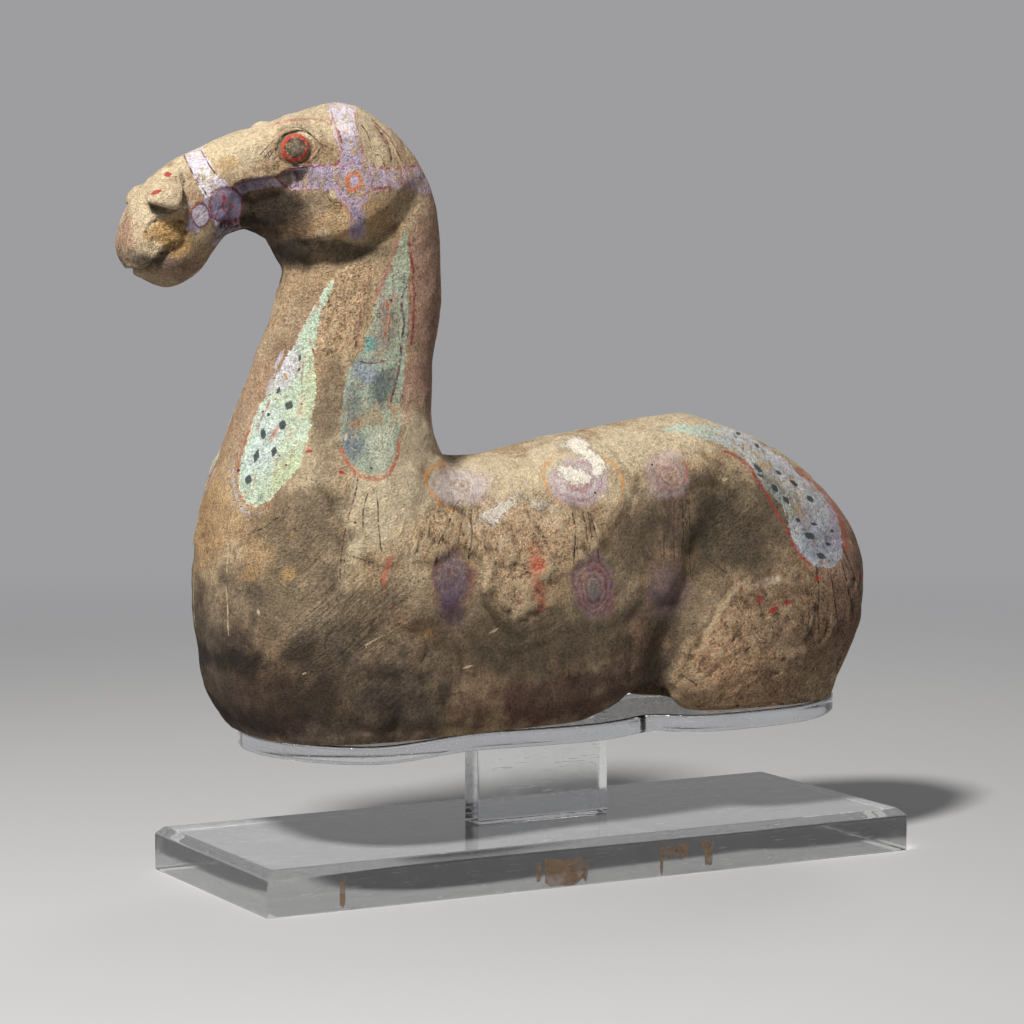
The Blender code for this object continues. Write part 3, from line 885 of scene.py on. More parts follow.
def ground_colors(s):
    """Colour of the bare clay at each point, darkened by painted shade in places, and how gritty it is."""
    broad = s.rough(55, seed=71, layers=4, keep=0.6)
    color = blend(TAN, CREAM, np.clip(CREAM_SHARE + BROAD_DRIFT * broad, 0, CREAM_MOST))
    grit = np.full(broad.shape, TAN_GRIT)
    for number, (tone, tone_grit, rows) in enumerate(GROUND):
        ragged = GROUND_RAGGED * s.rough(20, seed=80 + 5 * number, keep=0.8)
        kept = at_least(FAR_SMEAR_SHARE, s.near_side) if tone is SMEAR_RED else 1
        for row in rows:
            share = kept * blot(s.places, row, ragged, GROUND_FADE)
            color = blend(color, tone, share)
            grit = grit + (tone_grit - grit) * share
    rearward = soft_step(s.places[..., 0] - 0.5 * s.places[..., 1], *REARWARD)
    sandy = s.sandy * (1 - SANDY_LOSS * rearward)
    uneven = np.clip(EVENNESS + BROAD_DRIFT * broad, 0, 1)
    color = blend(color, LIGHT_CRUST, CRUST_COLORED * s.crust * uneven)
    color = blend(color, SANDY, SANDY_COLORED * sandy * uneven)
    color = blend(color, LIGHT_CRUST, NECK_COLORED * s.neck_crumb * uneven)
    # Painted shade and grime darken the clay under their patches
    ragged = SHADE_AND_GRIME_RAGGED * s.rough(20, seed=121, keep=0.75)
    clean_and_unshaded = np.prod([1 - blot(s.places, row, ragged, SHADE_AND_GRIME_FADE) for row in SHADE_AND_GRIME], axis=0)
    return color * at_least(SHADE_AND_GRIME_TONE, clean_and_unshaded[..., None]), grit


# Painted sheets: outline, colour and how worn they are
LAVENDER = srgb(186, 168, 188)
PALE_LAVENDER = srgb(224, 214, 226)
MINT = srgb(200, 214, 188)
SEA = srgb(166, 176, 154)
PALE_BLUE = srgb(194, 196, 198)
FRONT_PLUME = smooth_path([
    (334, 279), (325, 288), (313, 307), (301.5, 328), (290, 351), (277, 373), (265, 396), (253, 421),
    (246, 440), (241, 458), (239, 476), (240, 492), (246, 502), (256, 506), (266, 501), (279, 490),
    (291, 477), (300, 463), (304, 446), (309, 428), (314, 408), (316, 390), (314, 370), (314, 352),
    (318, 328), (324, 306), (331, 290),
], closed=True)
REAR_PLUME = smooth_path([
    (407, 228), (401, 243), (394, 259), (386, 281), (378, 296), (372, 314), (366, 331), (364, 348),
    (353, 361), (347, 378), (343, 401), (341, 430), (342, 445), (347, 455), (356, 466), (366, 472.5),
    (378, 473.5), (389, 466), (395, 453), (398, 440), (401, 421), (401, 400), (403, 386), (405, 357),
    (407, 336), (408, 307), (408, 287), (410, 268), (409.5, 245),
], closed=True)
RUMP_PLUME = smooth_path([
    (660, 427), (679, 425), (706, 426.5), (731, 428), (757, 441), (783, 458), (808, 477), (826, 493),
    (836, 510), (841, 530), (843, 549), (839, 563), (826, 568), (813, 562), (799, 548), (791, 530),
    (787, 513), (780, 502), (765, 489), (756, 476), (748, 462), (731, 450), (713, 441), (688, 433),
], closed=True)
NOSE_BAND = smooth_path([
    (178, 148), (184.5, 157), (190, 172), (198, 185), (206, 196), (214, 197), (224, 190), (230, 184.5),
    (221, 178.5), (211, 167.5), (204.5, 154), (197, 142),
], closed=True)
SMALL_STRAP = smooth_path([
    (186, 224), (193, 207), (204, 199), (214, 196), (222, 191), (232, 186.5), (244, 181), (262, 177),
    (276, 177), (284, 170), (297, 166.5), (311, 165), (334, 166), (336, 190), (322, 190), (300, 189.5),
    (286, 190.5), (272, 189), (258, 193), (244, 199), (240, 210), (240, 222), (236, 238), (226, 243),
    (214, 246), (214, 232), (212, 220), (200, 229), (190, 231),
], closed=True)
HEADSTALL = smooth_path([
    (326, 100), (330, 118), (334, 132), (339, 146), (338, 160), (333, 168), (334, 190), (342, 202),
    (349, 208), (350, 222), (352, 238), (360, 239), (365, 228), (366, 213), (366, 203), (376, 193),
    (392, 189), (410, 189), (430, 192), (428, 168), (410, 165), (392, 165), (376, 164), (364, 160),
    (362, 146), (357, 130), (355, 116), (352, 100),
], closed=True)
SHEETS = [
    (FRONT_PLUME, MINT, 0.22), (REAR_PLUME, SEA, 0.28), (RUMP_PLUME, PALE_BLUE, 0.3),
    (NOSE_BAND, PALE_LAVENDER, 0.3), (SMALL_STRAP, LAVENDER, 0.35), (HEADSTALL, LAVENDER, 0.36),
]

# How much more the far side's paint is worn, and how far wear varies
FAR_SIDE_WEAR = 0.16
WEAR_DRIFT = 0.10

# Tints inside the sheets: a colour and its patch
TINTS = [
    (srgb(206, 214, 174), 310, 390, 9, 34, 4, 0.75), (srgb(206, 220, 214), 262, 446, 16, 50, 18, 0.8),
    (srgb(204, 212, 164), 288, 470, 12, 34, 30, 0.6), (srgb(218, 210, 216), 284, 372, 14, 30, 24, 0.8),
    (srgb(192, 212, 188), 318, 320, 10, 40, 20, 0.5), (srgb(208, 168, 136), 301, 404, 3, 16, 14, 0.5),
    (srgb(216, 176, 150), 274, 432, 2.6, 9, 30, 0.8), (srgb(214, 178, 156), 290, 436, 2.2, 10, 8, 0.5),
    (srgb(186, 198, 168), 402, 256, 12, 28, 10, 0.8), (srgb(140, 130, 114), 392, 318, 8, 30, 8, 0.7),
    (srgb(124, 172, 164), 370, 343, 8, 8, 0, 0.9), (srgb(148, 124, 116), 383, 330, 7, 34, 6, 0.6),
    (srgb(146, 156, 164), 366, 372, 17, 17, 10, 0.9), (srgb(84, 96, 96), 384, 386, 15, 22, 24, 0.8),
    (srgb(118, 122, 116), 352, 408, 10, 40, 2, 0.8), (srgb(122, 130, 138), 354, 446, 13, 13, 0, 0.85),
    (srgb(202, 204, 180), 384, 448, 16, 26, 0, 0.85), (srgb(150, 138, 112), 372, 418, 14, 12, 10, 0.7),
    (srgb(160, 122, 94), 357, 425, 8, 5, 10, 0.8), (srgb(188, 206, 184), 690, 430, 34, 7, 6, 0.8),
    (srgb(206, 212, 206), 746, 455, 28, 10, 30, 0.8), (srgb(128, 134, 116), 772, 488, 20, 12, 42, 0.8),
    (srgb(206, 202, 212), 792, 466, 36, 9, 36, 0.8), (srgb(158, 164, 178), 820, 545, 20, 22, 0, 0.8),
    (srgb(150, 142, 146), 806, 516, 14, 12, 30, 0.7), (srgb(184, 146, 104), 766, 467, 9, 4, 30, 0.8),
    (srgb(176, 164, 184), 836, 530, 6, 26, -6, 0.7), (srgb(150, 160, 126), 792, 512, 6, 10, 0, 0.6),
    (srgb(236, 228, 230), 206, 178, 14, 14, 0, 0.9), (srgb(240, 236, 236), 203, 172, 9, 8, 0, 0.9),
    # The dark lavender tint at 252, 189 is painted shade on the strap under the facial crest
    (srgb(132, 116, 136), 252, 189, 18, 9, -12, 0.7), (srgb(150, 134, 156), 228, 228, 12, 12, 0, 0.7),
    (srgb(226, 216, 222), 342, 122, 16, 20, 0, 0.9), (srgb(148, 130, 156), 352, 222, 14, 16, 0, 0.7),
    (srgb(168, 150, 160), 310, 178, 18, 8, 0, 0.7), (srgb(202, 190, 206), 345, 145, 12, 10, 0, 0.7),
    (srgb(196, 160, 164), 404, 178, 14, 12, 0, 0.7), (srgb(150, 132, 124), 318, 182, 12, 6, 0, 0.6),
    (srgb(206, 186, 196), 422, 180, 10, 14, 0, 0.8), (srgb(180, 176, 152), 394, 268, 10, 26, 10, 0.6),
]


def sheet_fields(s):
    """Signed distance to the nearest painted sheet, its colour and its wear."""
    inside = np.full(s.shows.shape, -99.0)
    color = np.zeros(s.points.shape)
    worn = np.zeros(inside.shape)
    for outline, tone, wear in SHEETS:
        here = s.within(outline)
        closer = here > inside
        inside[closer] = here[closer]
        color[closer] = tone
        worn[closer] = wear
    ragged = TINT_RAGGED * s.rough(14, seed=131, keep=0.6)
    for tone, *row in TINTS:
        color = blend(color, tone, blot(s.places, row, ragged, TINT_FADE))
    worn += FAR_SIDE_WEAR * (1 - s.near_side) + WEAR_DRIFT * s.rough(26, seed=137, keep=0.6)
    return inside, color, worn


# Strokes of the brush: kind, half-width and points. Kinds name a colour in STROKE_COLORS
STROKE_COLORS = {
    "ink": srgb(56, 46, 44), "plum": srgb(104, 62, 70), "deep red": srgb(146, 52, 54),
    "red": srgb(180, 62, 56), "salmon": srgb(192, 112, 92), "orange": srgb(224, 164, 102),
    "pink": srgb(186, 128, 120), "bone": srgb(214, 196, 160), "slate": srgb(62, 68, 74),
    "lilac": srgb(212, 204, 214), "umber": srgb(112, 86, 62),
}
BOLD_STROKES = [
    ("deep red", 1.1, [(230, 188), (241, 181), (256, 179), (266, 177.8), (275, 177)]),
    ("deep red", 1, [(284, 172), (290, 168.5), (300, 167), (312, 165)]),
    ("pink", 1, [(323, 288.5), (313, 305), (301, 328), (292, 346)]),
    ("salmon", 1.3, [(253, 418), (246.5, 436), (240.5, 452), (237.5, 468), (237, 488)]),
    ("salmon", 1.1, [(239, 496), (246, 505), (256, 509.5), (265, 506), (273, 499)]),
    ("salmon", 1.9, [
        (342.5, 450), (346, 459), (352, 468.5), (361, 476.5), (374, 479), (385, 477), (393, 468.5),
        (397.5, 456), (399.5, 440),
    ]),
    ("deep red", 1.1, [(410.5, 240), (412.7, 269), (414.4, 291), (414.2, 313), (412.4, 333), (410.5, 345)]),
    ("pink", 1.3, [(399, 240), (391, 262), (382, 284), (375, 300)]),
    ("plum", 1.2, [
        (405.5, 288), (402, 300), (404, 321), (401.3, 342), (399.8, 365), (395.5, 384), (392, 400),
    ]),
    ("red", 1.9, [(727, 452.5), (738, 457), (747, 464), (755, 477), (765, 491)]),
    ("red", 1.3, [(766, 493), (778, 513), (786, 525)]),
    ("red", 2.1, [(787, 527), (793, 539), (800, 551), (811, 563.5)]),
    ("salmon", 2.6, [(800, 469), (815, 481), (828, 496), (838, 513), (845, 534), (847, 550)]),
    ("orange", 1.6, [(567, 506), (553, 496), (545, 482), (543.5, 470), (551, 460)]),
    ("orange", 1.6, [(599, 458), (614, 465), (622, 478), (623.5, 490), (621, 501)]),
    ("orange", 2.1, [(446, 463), (433, 467), (427, 477), (432, 493), (444, 505), (454, 511)]),
    ("plum", 0.8, [(183, 154), (188, 167), (197, 182), (205, 193)]),
    ("plum", 0.8, [(201.5, 152), (209, 165.5), (219, 177.5), (222.5, 180.5)]),
    ("pink", 1.2, [(271, 125), (285, 121.8), (304, 120), (320, 120.6), (328, 124)]),
    ("pink", 0.9, [(237.5, 218), (238.7, 227), (236, 236)]),
    ("red", 1.8, [(376, 165.5), (386, 167.8)]),
    ("red", 1.4, [(375, 188.5), (389, 186.3)]),
    ("plum", 0.8, [(338, 130), (341.5, 147), (339, 160)]),
    ("red", 0.9, [(310, 341), (313.7, 352.6)]),
    ("pink", 1, [(303, 364), (301, 381)]),
    ("pink", 1.2, [(269.5, 438), (276.5, 428)]),
    ("plum", 0.9, [(360, 361.5), (371, 363), (384, 361)]),
    ("pink", 0.9, [(331, 112), (336, 130), (340, 147), (340, 160)]),
    ("pink", 0.9, [(353, 108), (357, 126), (361, 146), (362, 158)]),
    ("red", 1, [(315, 166), (328, 164.5), (338, 164)]),
    ("pink", 0.9, [(301, 190.5), (312, 189), (324, 189.5), (334, 189)]),
    ("red", 1, [(399, 167.5), (408, 166), (418, 165.5)]),
    ("pink", 0.9, [(402, 169), (401, 179), (405, 190)]),
    ("pink", 0.9, [(409, 168), (408, 180), (411, 189)]),
    ("pink", 0.9, [(341, 201), (346, 207), (351, 215), (351, 229), (354, 238)]),
    ("salmon", 1.1, [(222.3, 197), (228.5, 203), (236.6, 209.4)]),
    ("red", 1, [(224.5, 199), (222.5, 206), (228, 214)]),
    ("pink", 0.8, [(193, 219), (199, 214.5), (205, 210)]),
    ("lilac", 2.2, [(293, 176), (294.5, 181), (292, 185)]),
    ("salmon", 1.1, [(183, 215), (188, 210), (194, 204.5), (202, 200)]),
    ("lilac", 1.8, [(186, 206), (190, 204)]),
    ("lilac", 1.8, [(233.5, 470), (234, 486), (237, 500), (243, 510), (253, 512), (263, 509)]),
    ("lilac", 1.8, [(283, 352), (279, 359), (275, 367)]),
    ("lilac", 1.7, [(273, 374), (269, 384), (266, 394)]),
    ("pink", 1.1, [(270, 400), (261, 420), (254, 434)]),
    ("pink", 1, [(372, 268), (366, 287), (360, 314), (357, 339)]),
    ("plum", 1.3, [(357, 340), (355.5, 346), (354, 351)]),
    ("pink", 0.9, [(384, 278), (384, 296), (379, 310)]),
    ("pink", 0.9, [(394, 290), (391, 305), (387, 316), (386, 330)]),
    ("salmon", 1, [(386, 300), (389, 315), (384, 334)]),
    ("salmon", 1, [(684, 462), (688, 472), (684, 484)]),
    ("umber", 0.9, [(372, 117), (384, 128), (395, 144), (402, 160)]),
    ("umber", 0.8, [(360, 123), (367, 132), (371, 146)]),
    ("umber", 0.8, [(380, 113), (394, 126), (405, 145)]),
]
THIN_STROKES = [
    ("plum", 0.85, [
        (358.6, 479), (356.3, 491.6), (348.3, 518.7), (344.3, 537.8), (341.9, 552), (340.3, 579),
    ]),
    ("ink", 0.7, [(370.6, 488.4), (365.8, 501), (363.4, 523.5), (363.9, 536)]),
    ("ink", 0.7, [(376.2, 490), (378.6, 510.7), (378.8, 520), (380.2, 534.7), (381.8, 550.6)]),
    ("ink", 0.8, [(458, 502.4), (451, 516), (442.7, 532), (436.5, 544)]),
    ("plum", 0.7, [(463.5, 509.6), (459, 532), (457, 548)]),
    ("ink", 0.9, [(471.5, 511), (470.4, 535), (469.2, 560.6)]),
    ("ink", 0.9, [(573.3, 514), (574.6, 530), (574.3, 562)]),
    ("ink", 0.8, [(583.5, 511.6), (586, 527), (587.6, 540)]),
    ("ink", 0.8, [(591.6, 513.7), (596, 532), (600.8, 560)]),
    ("plum", 0.7, [(667, 501.4), (666, 530), (665, 560)]),
    ("plum", 0.7, [(675.3, 499.4), (675.5, 530), (675.3, 562)]),
    ("ink", 0.7, [(683, 501), (684, 530), (683, 556)]),
    ("ink", 0.6, [(690, 502), (691, 535), (692, 573)]),
    ("ink", 0.8, [(818.4, 567), (818.9, 604), (818.9, 642)]),
    ("ink", 0.8, [(832, 577), (835, 601), (839, 631)]),
    ("ink", 0.8, [(843, 563), (848, 588), (854.5, 617)]),
    ("ink", 0.8, [(843, 546), (849.4, 563.6), (861.4, 594.6)]),
    ("ink", 0.85, [
        (322, 146), (314, 138.5), (305, 132.8), (295, 131), (285, 134), (277.8, 141.5), (276, 150),
    ]),
    ("ink", 0.85, [(279, 157), (286.5, 163), (296, 165.2), (306, 163.3), (314, 157), (318.5, 149)]),
    ("ink", 0.6, [(290, 127.2), (299, 127.6), (306, 130.6), (315, 139), (326, 146.4)]),
    ("ink", 0.5, [(259.5, 154), (264, 149), (273.4, 141)]),
    ("ink", 0.5, [(263.6, 157.2), (267, 153), (272, 148)]),
    ("ink", 0.5, [(268, 157.4), (272, 152), (276, 145.6)]),
    ("ink", 0.5, [(273.4, 159.4), (275.5, 156.5), (278.5, 154)]),
    # Pale rims under the lid; the second is a painted highlight on the eyeball
    ("bone", 0.6, [(279, 154), (282, 158.5), (287, 162), (292, 163.4)]),
    ("bone", 0.5, [(304, 161.5), (308.5, 156.5), (310, 150)]),
    ("ink", 0.5, [(306, 162), (311, 157), (314, 150)]),
    ("ink", 0.5, [(373, 167), (374, 159), (378, 153.5), (383, 159), (385, 167)]),
    ("ink", 0.5, [(327.5, 189), (327.5, 196), (332, 201), (339, 202)]),
    ("ink", 0.7, [(375, 122), (388, 138), (392.5, 160)]),
    ("bone", 0.8, [(368, 119), (380, 129), (386, 140)]),
    ("bone", 0.8, [(378, 120), (389, 131), (397, 146)]),
    ("bone", 0.8, [(386, 116), (399, 131), (408, 150)]),
    ("bone", 0.7, [(395, 150), (402, 165), (405, 180)]),
    ("bone", 0.7, [(225.5, 544), (225.8, 560), (225.5, 571)]),
    ("bone", 0.7, [(225, 587), (226.5, 600), (229, 633)]),
    ("ink", 0.7, [(338.7, 553.2), (355, 557), (373, 562.8)]),
    ("ink", 0.8, [(241.5, 536.5), (250, 533), (262, 528), (277, 517)]),
    ("ink", 0.8, [(683, 674), (690, 678), (696.6, 682.5)]),
    ("ink", 0.6, [(708, 558), (717, 565), (727, 572)]),
    ("bone", 0.8, [(365.7, 645.3), (374, 640.5), (384, 635)]),
    ("bone", 0.5, [(360.6, 646), (362.2, 644.2), (364, 645.8), (362.6, 647.6), (360.6, 646)]),
]

# A stroke is looked for this far round it, and shows this far from its middle
STROKE_REACH = 12
BOLD_GATE = 4.0
THIN_GATE = 3.0


def stroke_fields(places, strokes, gate):
    """For the nearest stroke: signed distance in half-widths, nearness (below 1 where it may show)
    and the number of its colour."""
    kinds = list(STROKE_COLORS)
    nearest = np.full(places.shape[:-1], 1e6)
    signed, kind = np.zeros(nearest.shape), np.zeros(nearest.shape)
    for name, half_width, path in strokes:
        path = smooth_path(path)
        low, high = path.min(axis=0) - STROKE_REACH, path.max(axis=0) + STROKE_REACH
        around = np.all((places > low) & (places < high), axis=-1)
        side, far, _ = path_field(places[around], path)
        closer = around.copy()
        closer[around] = far < nearest[around]
        nearest[closer] = far[closer[around]]
        signed[closer] = side[closer[around]] / half_width
        kind[closer] = kinds.index(name)
    return np.stack([signed, nearest / gate, kind], axis=-1)


# Dabs: kind, then middle, reach and lean. Lozenges in the plumes, red dabs, flecks and pits
DABS = [
    ("slate", [
        (289, 405, 4.2, 4.6, 24), (282.3, 424.5, 3.6, 5.2, 20), (262.4, 433.5, 2.8, 5, 8),
        (273.6, 451, 3, 5, 18), (255.8, 455.8, 2.6, 6.8, 16), (248.3, 479.5, 3.2, 5, 18),
        (268.2, 414.5, 1.7, 2, 0), (277.7, 390, 1.6, 4, 24), (299.8, 357.8, 1.4, 3.2, 10),
        (299, 369.5, 1.4, 2.2, 30), (262.8, 411.5, 1.1, 1.1, 0), (279, 455.5, 1.1, 0.9, 0),
        (286, 464.8, 1.5, 1, 30), (301.4, 403.8, 1, 1, 0), (238, 470.3, 1.9, 1.5, -20),
        (371.5, 468, 1.8, 1.2, 40), (391, 300, 1.6, 1.6, 0), (758.5, 469, 6.4, 2.4, 44),
        (775.4, 488.4, 4.8, 2.6, 42), (787, 499.6, 4.6, 2.3, 46), (779.4, 472.6, 3.6, 1.6, 36),
        (794.8, 483, 4.8, 2, 34), (811, 499, 4.6, 2.4, 42), (800.6, 519.5, 3, 2, 34),
        (815, 524, 3.2, 1.6, 20), (812, 535.6, 6.2, 3.2, 28), (829.6, 543.8, 3, 2, 20),
        (822.7, 555.8, 5.2, 3, 26), (739, 433.5, 2.6, 1.4, 30), (757.5, 446, 3.4, 1.4, 30),
        (833, 531, 2, 1.4, 20), (760, 475.6, 5, 1.2, 30), (595.7, 492.9, 1.7, 1, 20),
        (653.3, 464.3, 1.2, 1.2, 0), (738.4, 705.5, 2.6, 1.8, 0), (362.5, 646, 1.1, 1.1, 0),
        (355.5, 522.5, 1.5, 1.3, 0), (183.4, 181.6, 1.7, 1, -40), (154.5, 186.6, 0.9, 0.9, 0),
        (175.5, 178.6, 0.8, 0.8, 0),
    ]),
    ("red", [
        (168, 176.5, 3.8, 2.8, -10), (158, 195, 4.2, 1.6, -24), (740.9, 588.6, 3, 1.6, 20),
        (760.7, 599, 2.6, 3.8, 10), (774.5, 610, 5.4, 2.6, -36), (788.2, 602.3, 3, 2.8, 0),
        (818, 578, 2.2, 3.6, 0), (861, 577, 2, 3.6, 0), (393, 608, 1.4, 1.4, 0),
        (309, 451, 4.4, 1.6, -10), (342, 472, 3.4, 1.8, 20), (224, 197.5, 2.2, 3.4, 0),
    ]),
    ("bone", [
        (725.4, 479.2, 2.2, 1.8, 0), (304, 674, 2.6, 0.9, -16), (380, 523, 2, 1.4, 0),
        (346, 437, 1.6, 4, 14), (258, 612, 1.6, 3.2, -20), (757.9, 635.8, 1.2, 1, 0),
        (378.5, 161.5, 4.4, 6.6, 8), (332.5, 193.5, 3.2, 5.4, -26), (496, 631, 6, 1.4, -24),
        (469, 667, 5, 1.2, -20),
    ]),
]


def dab_fields(places):
    """For the dab nearest to each place: its middle and colour number, and its reach and lean."""
    kinds = list(STROKE_COLORS)
    nearest = np.full(places.shape[:-1], 1e6)
    middle = np.zeros((*places.shape[:-1], 3))
    shape = np.ones(middle.shape)
    for name, dabs in DABS:
        for x, y, reach_x, reach_y, lean in dabs:
            far = np.hypot(places[..., 0] - x, places[..., 1] - y) - max(reach_x, reach_y)
            closer = far < nearest
            nearest[closer] = far[closer]
            middle[closer] = (x, y, kinds.index(name))
            shape[closer] = (reach_x, reach_y, math.radians(lean))
    return middle, shape


# White crust that lies on the paint
WHITING = [
    smooth_path([
        (559, 445), (568, 440), (585, 440), (590, 445), (594, 452), (602, 459), (606, 467), (603, 475),
        (596, 480), (592, 474), (589, 466), (580, 459), (568, 450),
    ], closed=True),
    smooth_path([
        (557, 470), (558, 465), (568, 465), (580, 467), (590, 474), (592, 482), (584, 486), (572, 483),
        (562, 476),
    ], closed=True),
    smooth_path([
        (476, 520), (484, 511), (499, 504), (508, 498), (522, 494), (515, 506), (503, 516), (494, 526),
        (484, 523),
    ], closed=True),
    smooth_path([
        (528, 499), (538, 501), (548, 504), (546, 510), (537, 507),
    ], closed=True),
]

# Patches of brushed clay, and the lean, reach and wander of the brush's marks
BRUSHED = [
    (345, 626, 84, 60, -30, 1), (392, 686, 40, 34, 30, 1), (268, 690, 40, 40, 40, 0.8),
    (300, 548, 50, 50, 0, 0.5), (728, 500, 60, 40, 0, 0.7), (520, 640, 70, 30, -10, 0.5),
]
BRUSH_ANGLE = math.radians(-38)
BRUSH_REACH = (46, 3.4, 1)
BRUSH_WANDER = 34


# Whole surface of the horse with its fields for the material

def softened(values, passes=5):
    """Values of the ring grid averaged with their neighbours."""
    for _ in range(passes):
        along = np.concatenate([values[:1], values, values[-1:]])
        values = (along[:-2] + 2 * along[1:-1] + along[2:]) / 4
        values = (np.roll(values, 1, axis=1) + 2 * values + np.roll(values, -1, axis=1)) / 4
    return values


def fitted(points, box):
    """Points moved so that they just fill a box."""
    low, high = (np.array(corner) for corner in box)
    flat = points.reshape(-1, 3)
    return low + (points - flat.min(axis=0)) / np.ptp(flat, axis=0) * (high - low)


def make_horse():
    """The worn horse, with the fields of its material stored on its points and faces."""
    s = Surface(solid_rings())
    add_relief(s)
    worn_rings = s.points + s.rise[..., None] * s.normals
    piece = grid_mesh("pottery_horse", fitted(worn_rings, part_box("horse")))
    ground, grit = ground_colors(s)
    inside, paint, worn = sheet_fields(s)
    sunk = (softened(s.rise) - s.rise) * 1000
    loose = np.max([s.sandy, s.neck_crumb, s.crust, s.broken], axis=0)
    whiting = np.max([s.within(outline) for outline in WHITING], axis=0)
    stored = {
        "ground": ground,
        "grit": grit,
        "brushed": np.max([blot(s.places, row, 0, BRUSHED_FADE) for row in BRUSHED], axis=0),
        "paint": paint,
        "sheet": np.stack([inside, worn, s.shows], axis=-1),
        "marks": np.stack([sunk, loose, whiting], axis=-1),
        "bold_stroke": stroke_fields(s.places, BOLD_STROKES, BOLD_GATE),
        "thin_stroke": stroke_fields(s.places, THIN_STROKES, THIN_GATE),
        "places": np.concatenate([s.places, s.near_side[..., None]], axis=-1),
    }
    for name, values in stored.items():
        set_attribute(piece, name, values.reshape(-1, 3) if values.ndim == 3 else values.ravel())
    corners = s.places.reshape(-1, 2)
    middles = [corners[list(face.vertices)].mean(axis=0) for face in piece.data.polygons]
    for name, values in zip(("dab_middle", "dab_shape"), dab_fields(np.array(middles))):
        set_attribute(piece, name, values, "FACE")
    return piece


# Materials

class Wire:
    """The output of a node, which can be added, multiplied and so on."""

    def __init__(self, nodes, socket):
        self.nodes = nodes
        self.socket = socket

    def __add__(self, other):
        return self.nodes.math("ADD", self, other)

    def __sub__(self, other):
        return self.nodes.math("SUBTRACT", self, other)

    def __mul__(self, other):
        return self.nodes.math("MULTIPLY", self, other)

    def __truediv__(self, other):
        return self.nodes.math("DIVIDE", self, other)

    def __abs__(self):
        return self.nodes.math("ABSOLUTE", self)


class Nodes:
    """A material whose nodes are added one short call at a time."""

    def __init__(self, name):
        self.material = bpy.data.materials.new(name)
        self.material.use_nodes = True
        self.tree = self.material.node_tree
        self.shader = self.tree.nodes["Principled BSDF"]
        self.object_place = self.add("ShaderNodeTexCoord", output="Object")

    def feed(self, socket, value):
        """Links a wire to a socket, or sets the socket's own value."""
        if isinstance(value, Wire):
            self.tree.links.new(value.socket, socket)
        else:
            socket.default_value = value

    def node(self, kind, inputs, **settings):
        """A new node with its first inputs, or the named ones, fed."""
        node = self.tree.nodes.new(kind)
        for name, value in settings.items():
            setattr(node, name, value)
        named = inputs.items() if isinstance(inputs, dict) else enumerate(inputs)
        for name, value in named:
            self.feed(node.inputs[name], value)
        return node

    def add(self, kind, *inputs, output=0, **settings):
        """An output of a new node whose first inputs are fed."""
        return Wire(self, self.node(kind, inputs, **settings).outputs[output])

    def look(self, **inputs):
        """Feeds the shader's inputs, named with underscores for spaces."""
        for name, value in inputs.items():
            self.feed(self.shader.inputs[name.replace("_", " ")], value)

    def attribute(self, name, output="Vector"):
        """Values that a piece stores under a name."""
        return self.add("ShaderNodeAttribute", attribute_name=name, output=output)

    def split(self, vector):
        """The three parts of a vector."""
        node = self.node("ShaderNodeSeparateXYZ", [vector])
        return [Wire(self, socket) for socket in node.outputs]

    def join(self, x, y, z):
        """A vector from its three parts."""
        return self.add("ShaderNodeCombineXYZ", x, y, z)

    def math(self, operation, *inputs):
        return self.add("ShaderNodeMath", *inputs, operation=operation)

    def vector(self, operation, *inputs, output=0):
        return self.add("ShaderNodeVectorMath", *inputs, operation=operation, output=output)

    def step(self, value, start, end):
        """Smoothly from 0 at the start to 1 at the end."""
        return self.add("ShaderNodeMapRange", value, start, end, 0, 1, interpolation_type="SMOOTHSTEP")

    def placed(self, vector, middle, lean, reach):
        """A vector seen from the middle of a leaning patch, in shares of its reach."""
        turn = (0, 0, lean)
        return self.add("ShaderNodeMapping", vector, middle, turn, reach, vector_type="TEXTURE")

    def noise(self, kind, stretch=None, place=None):
        """Noise of a kind, which is its scale, layers and roughness."""
        vector = place or self.object_place
        if stretch:
            vector = self.vector("MULTIPLY", vector, stretch)
        inputs = {"Vector": vector, **dict(zip(("Scale", "Detail", "Roughness"), kind))}
        return Wire(self, self.node("ShaderNodeTexNoise", inputs).outputs[0])

    def between(self, share, low, high):
        """A number taken from the low towards the high one."""
        return share * (high - low) + low

    def patches(self, kind, stretch=None):
        """Patches of a kind, which is a noise and the values where it sets in and is full."""
        noise, start, end = kind
        return self.step(self.noise(noise, stretch), start, end)

    def mix(self, share, low, high, kind="MIX"):
        """A colour taken from the low towards the high one, or multiplied by it."""
        low, high = (color if isinstance(color, Wire) else (*color, 1) for color in (low, high))
        inputs = {0: share, 6: low, 7: high}
        return Wire(self, self.node("ShaderNodeMix", inputs, data_type="RGBA", blend_type=kind).outputs[2])

    def ramp(self, value, stops, interpolation="LINEAR"):
        """Colour and strength from stops of (place, colour, strength)."""
        node = self.node("ShaderNodeValToRGB", [value])
        node.color_ramp.interpolation = interpolation
        elements = node.color_ramp.elements
        while len(elements) < len(stops):
            elements.new(1.0)
        for element, (place, color, strength) in zip(elements, stops):
            element.position = place
            element.color = (*color, strength)
        return [Wire(self, socket) for socket in node.outputs]

    def bump(self, height):
        """Roughens the surface by a height in metres."""
        node = self.node("ShaderNodeBump", {"Strength": 1, "Distance": 1, "Height": height})
        self.look(Normal=Wire(self, node.outputs[0]))


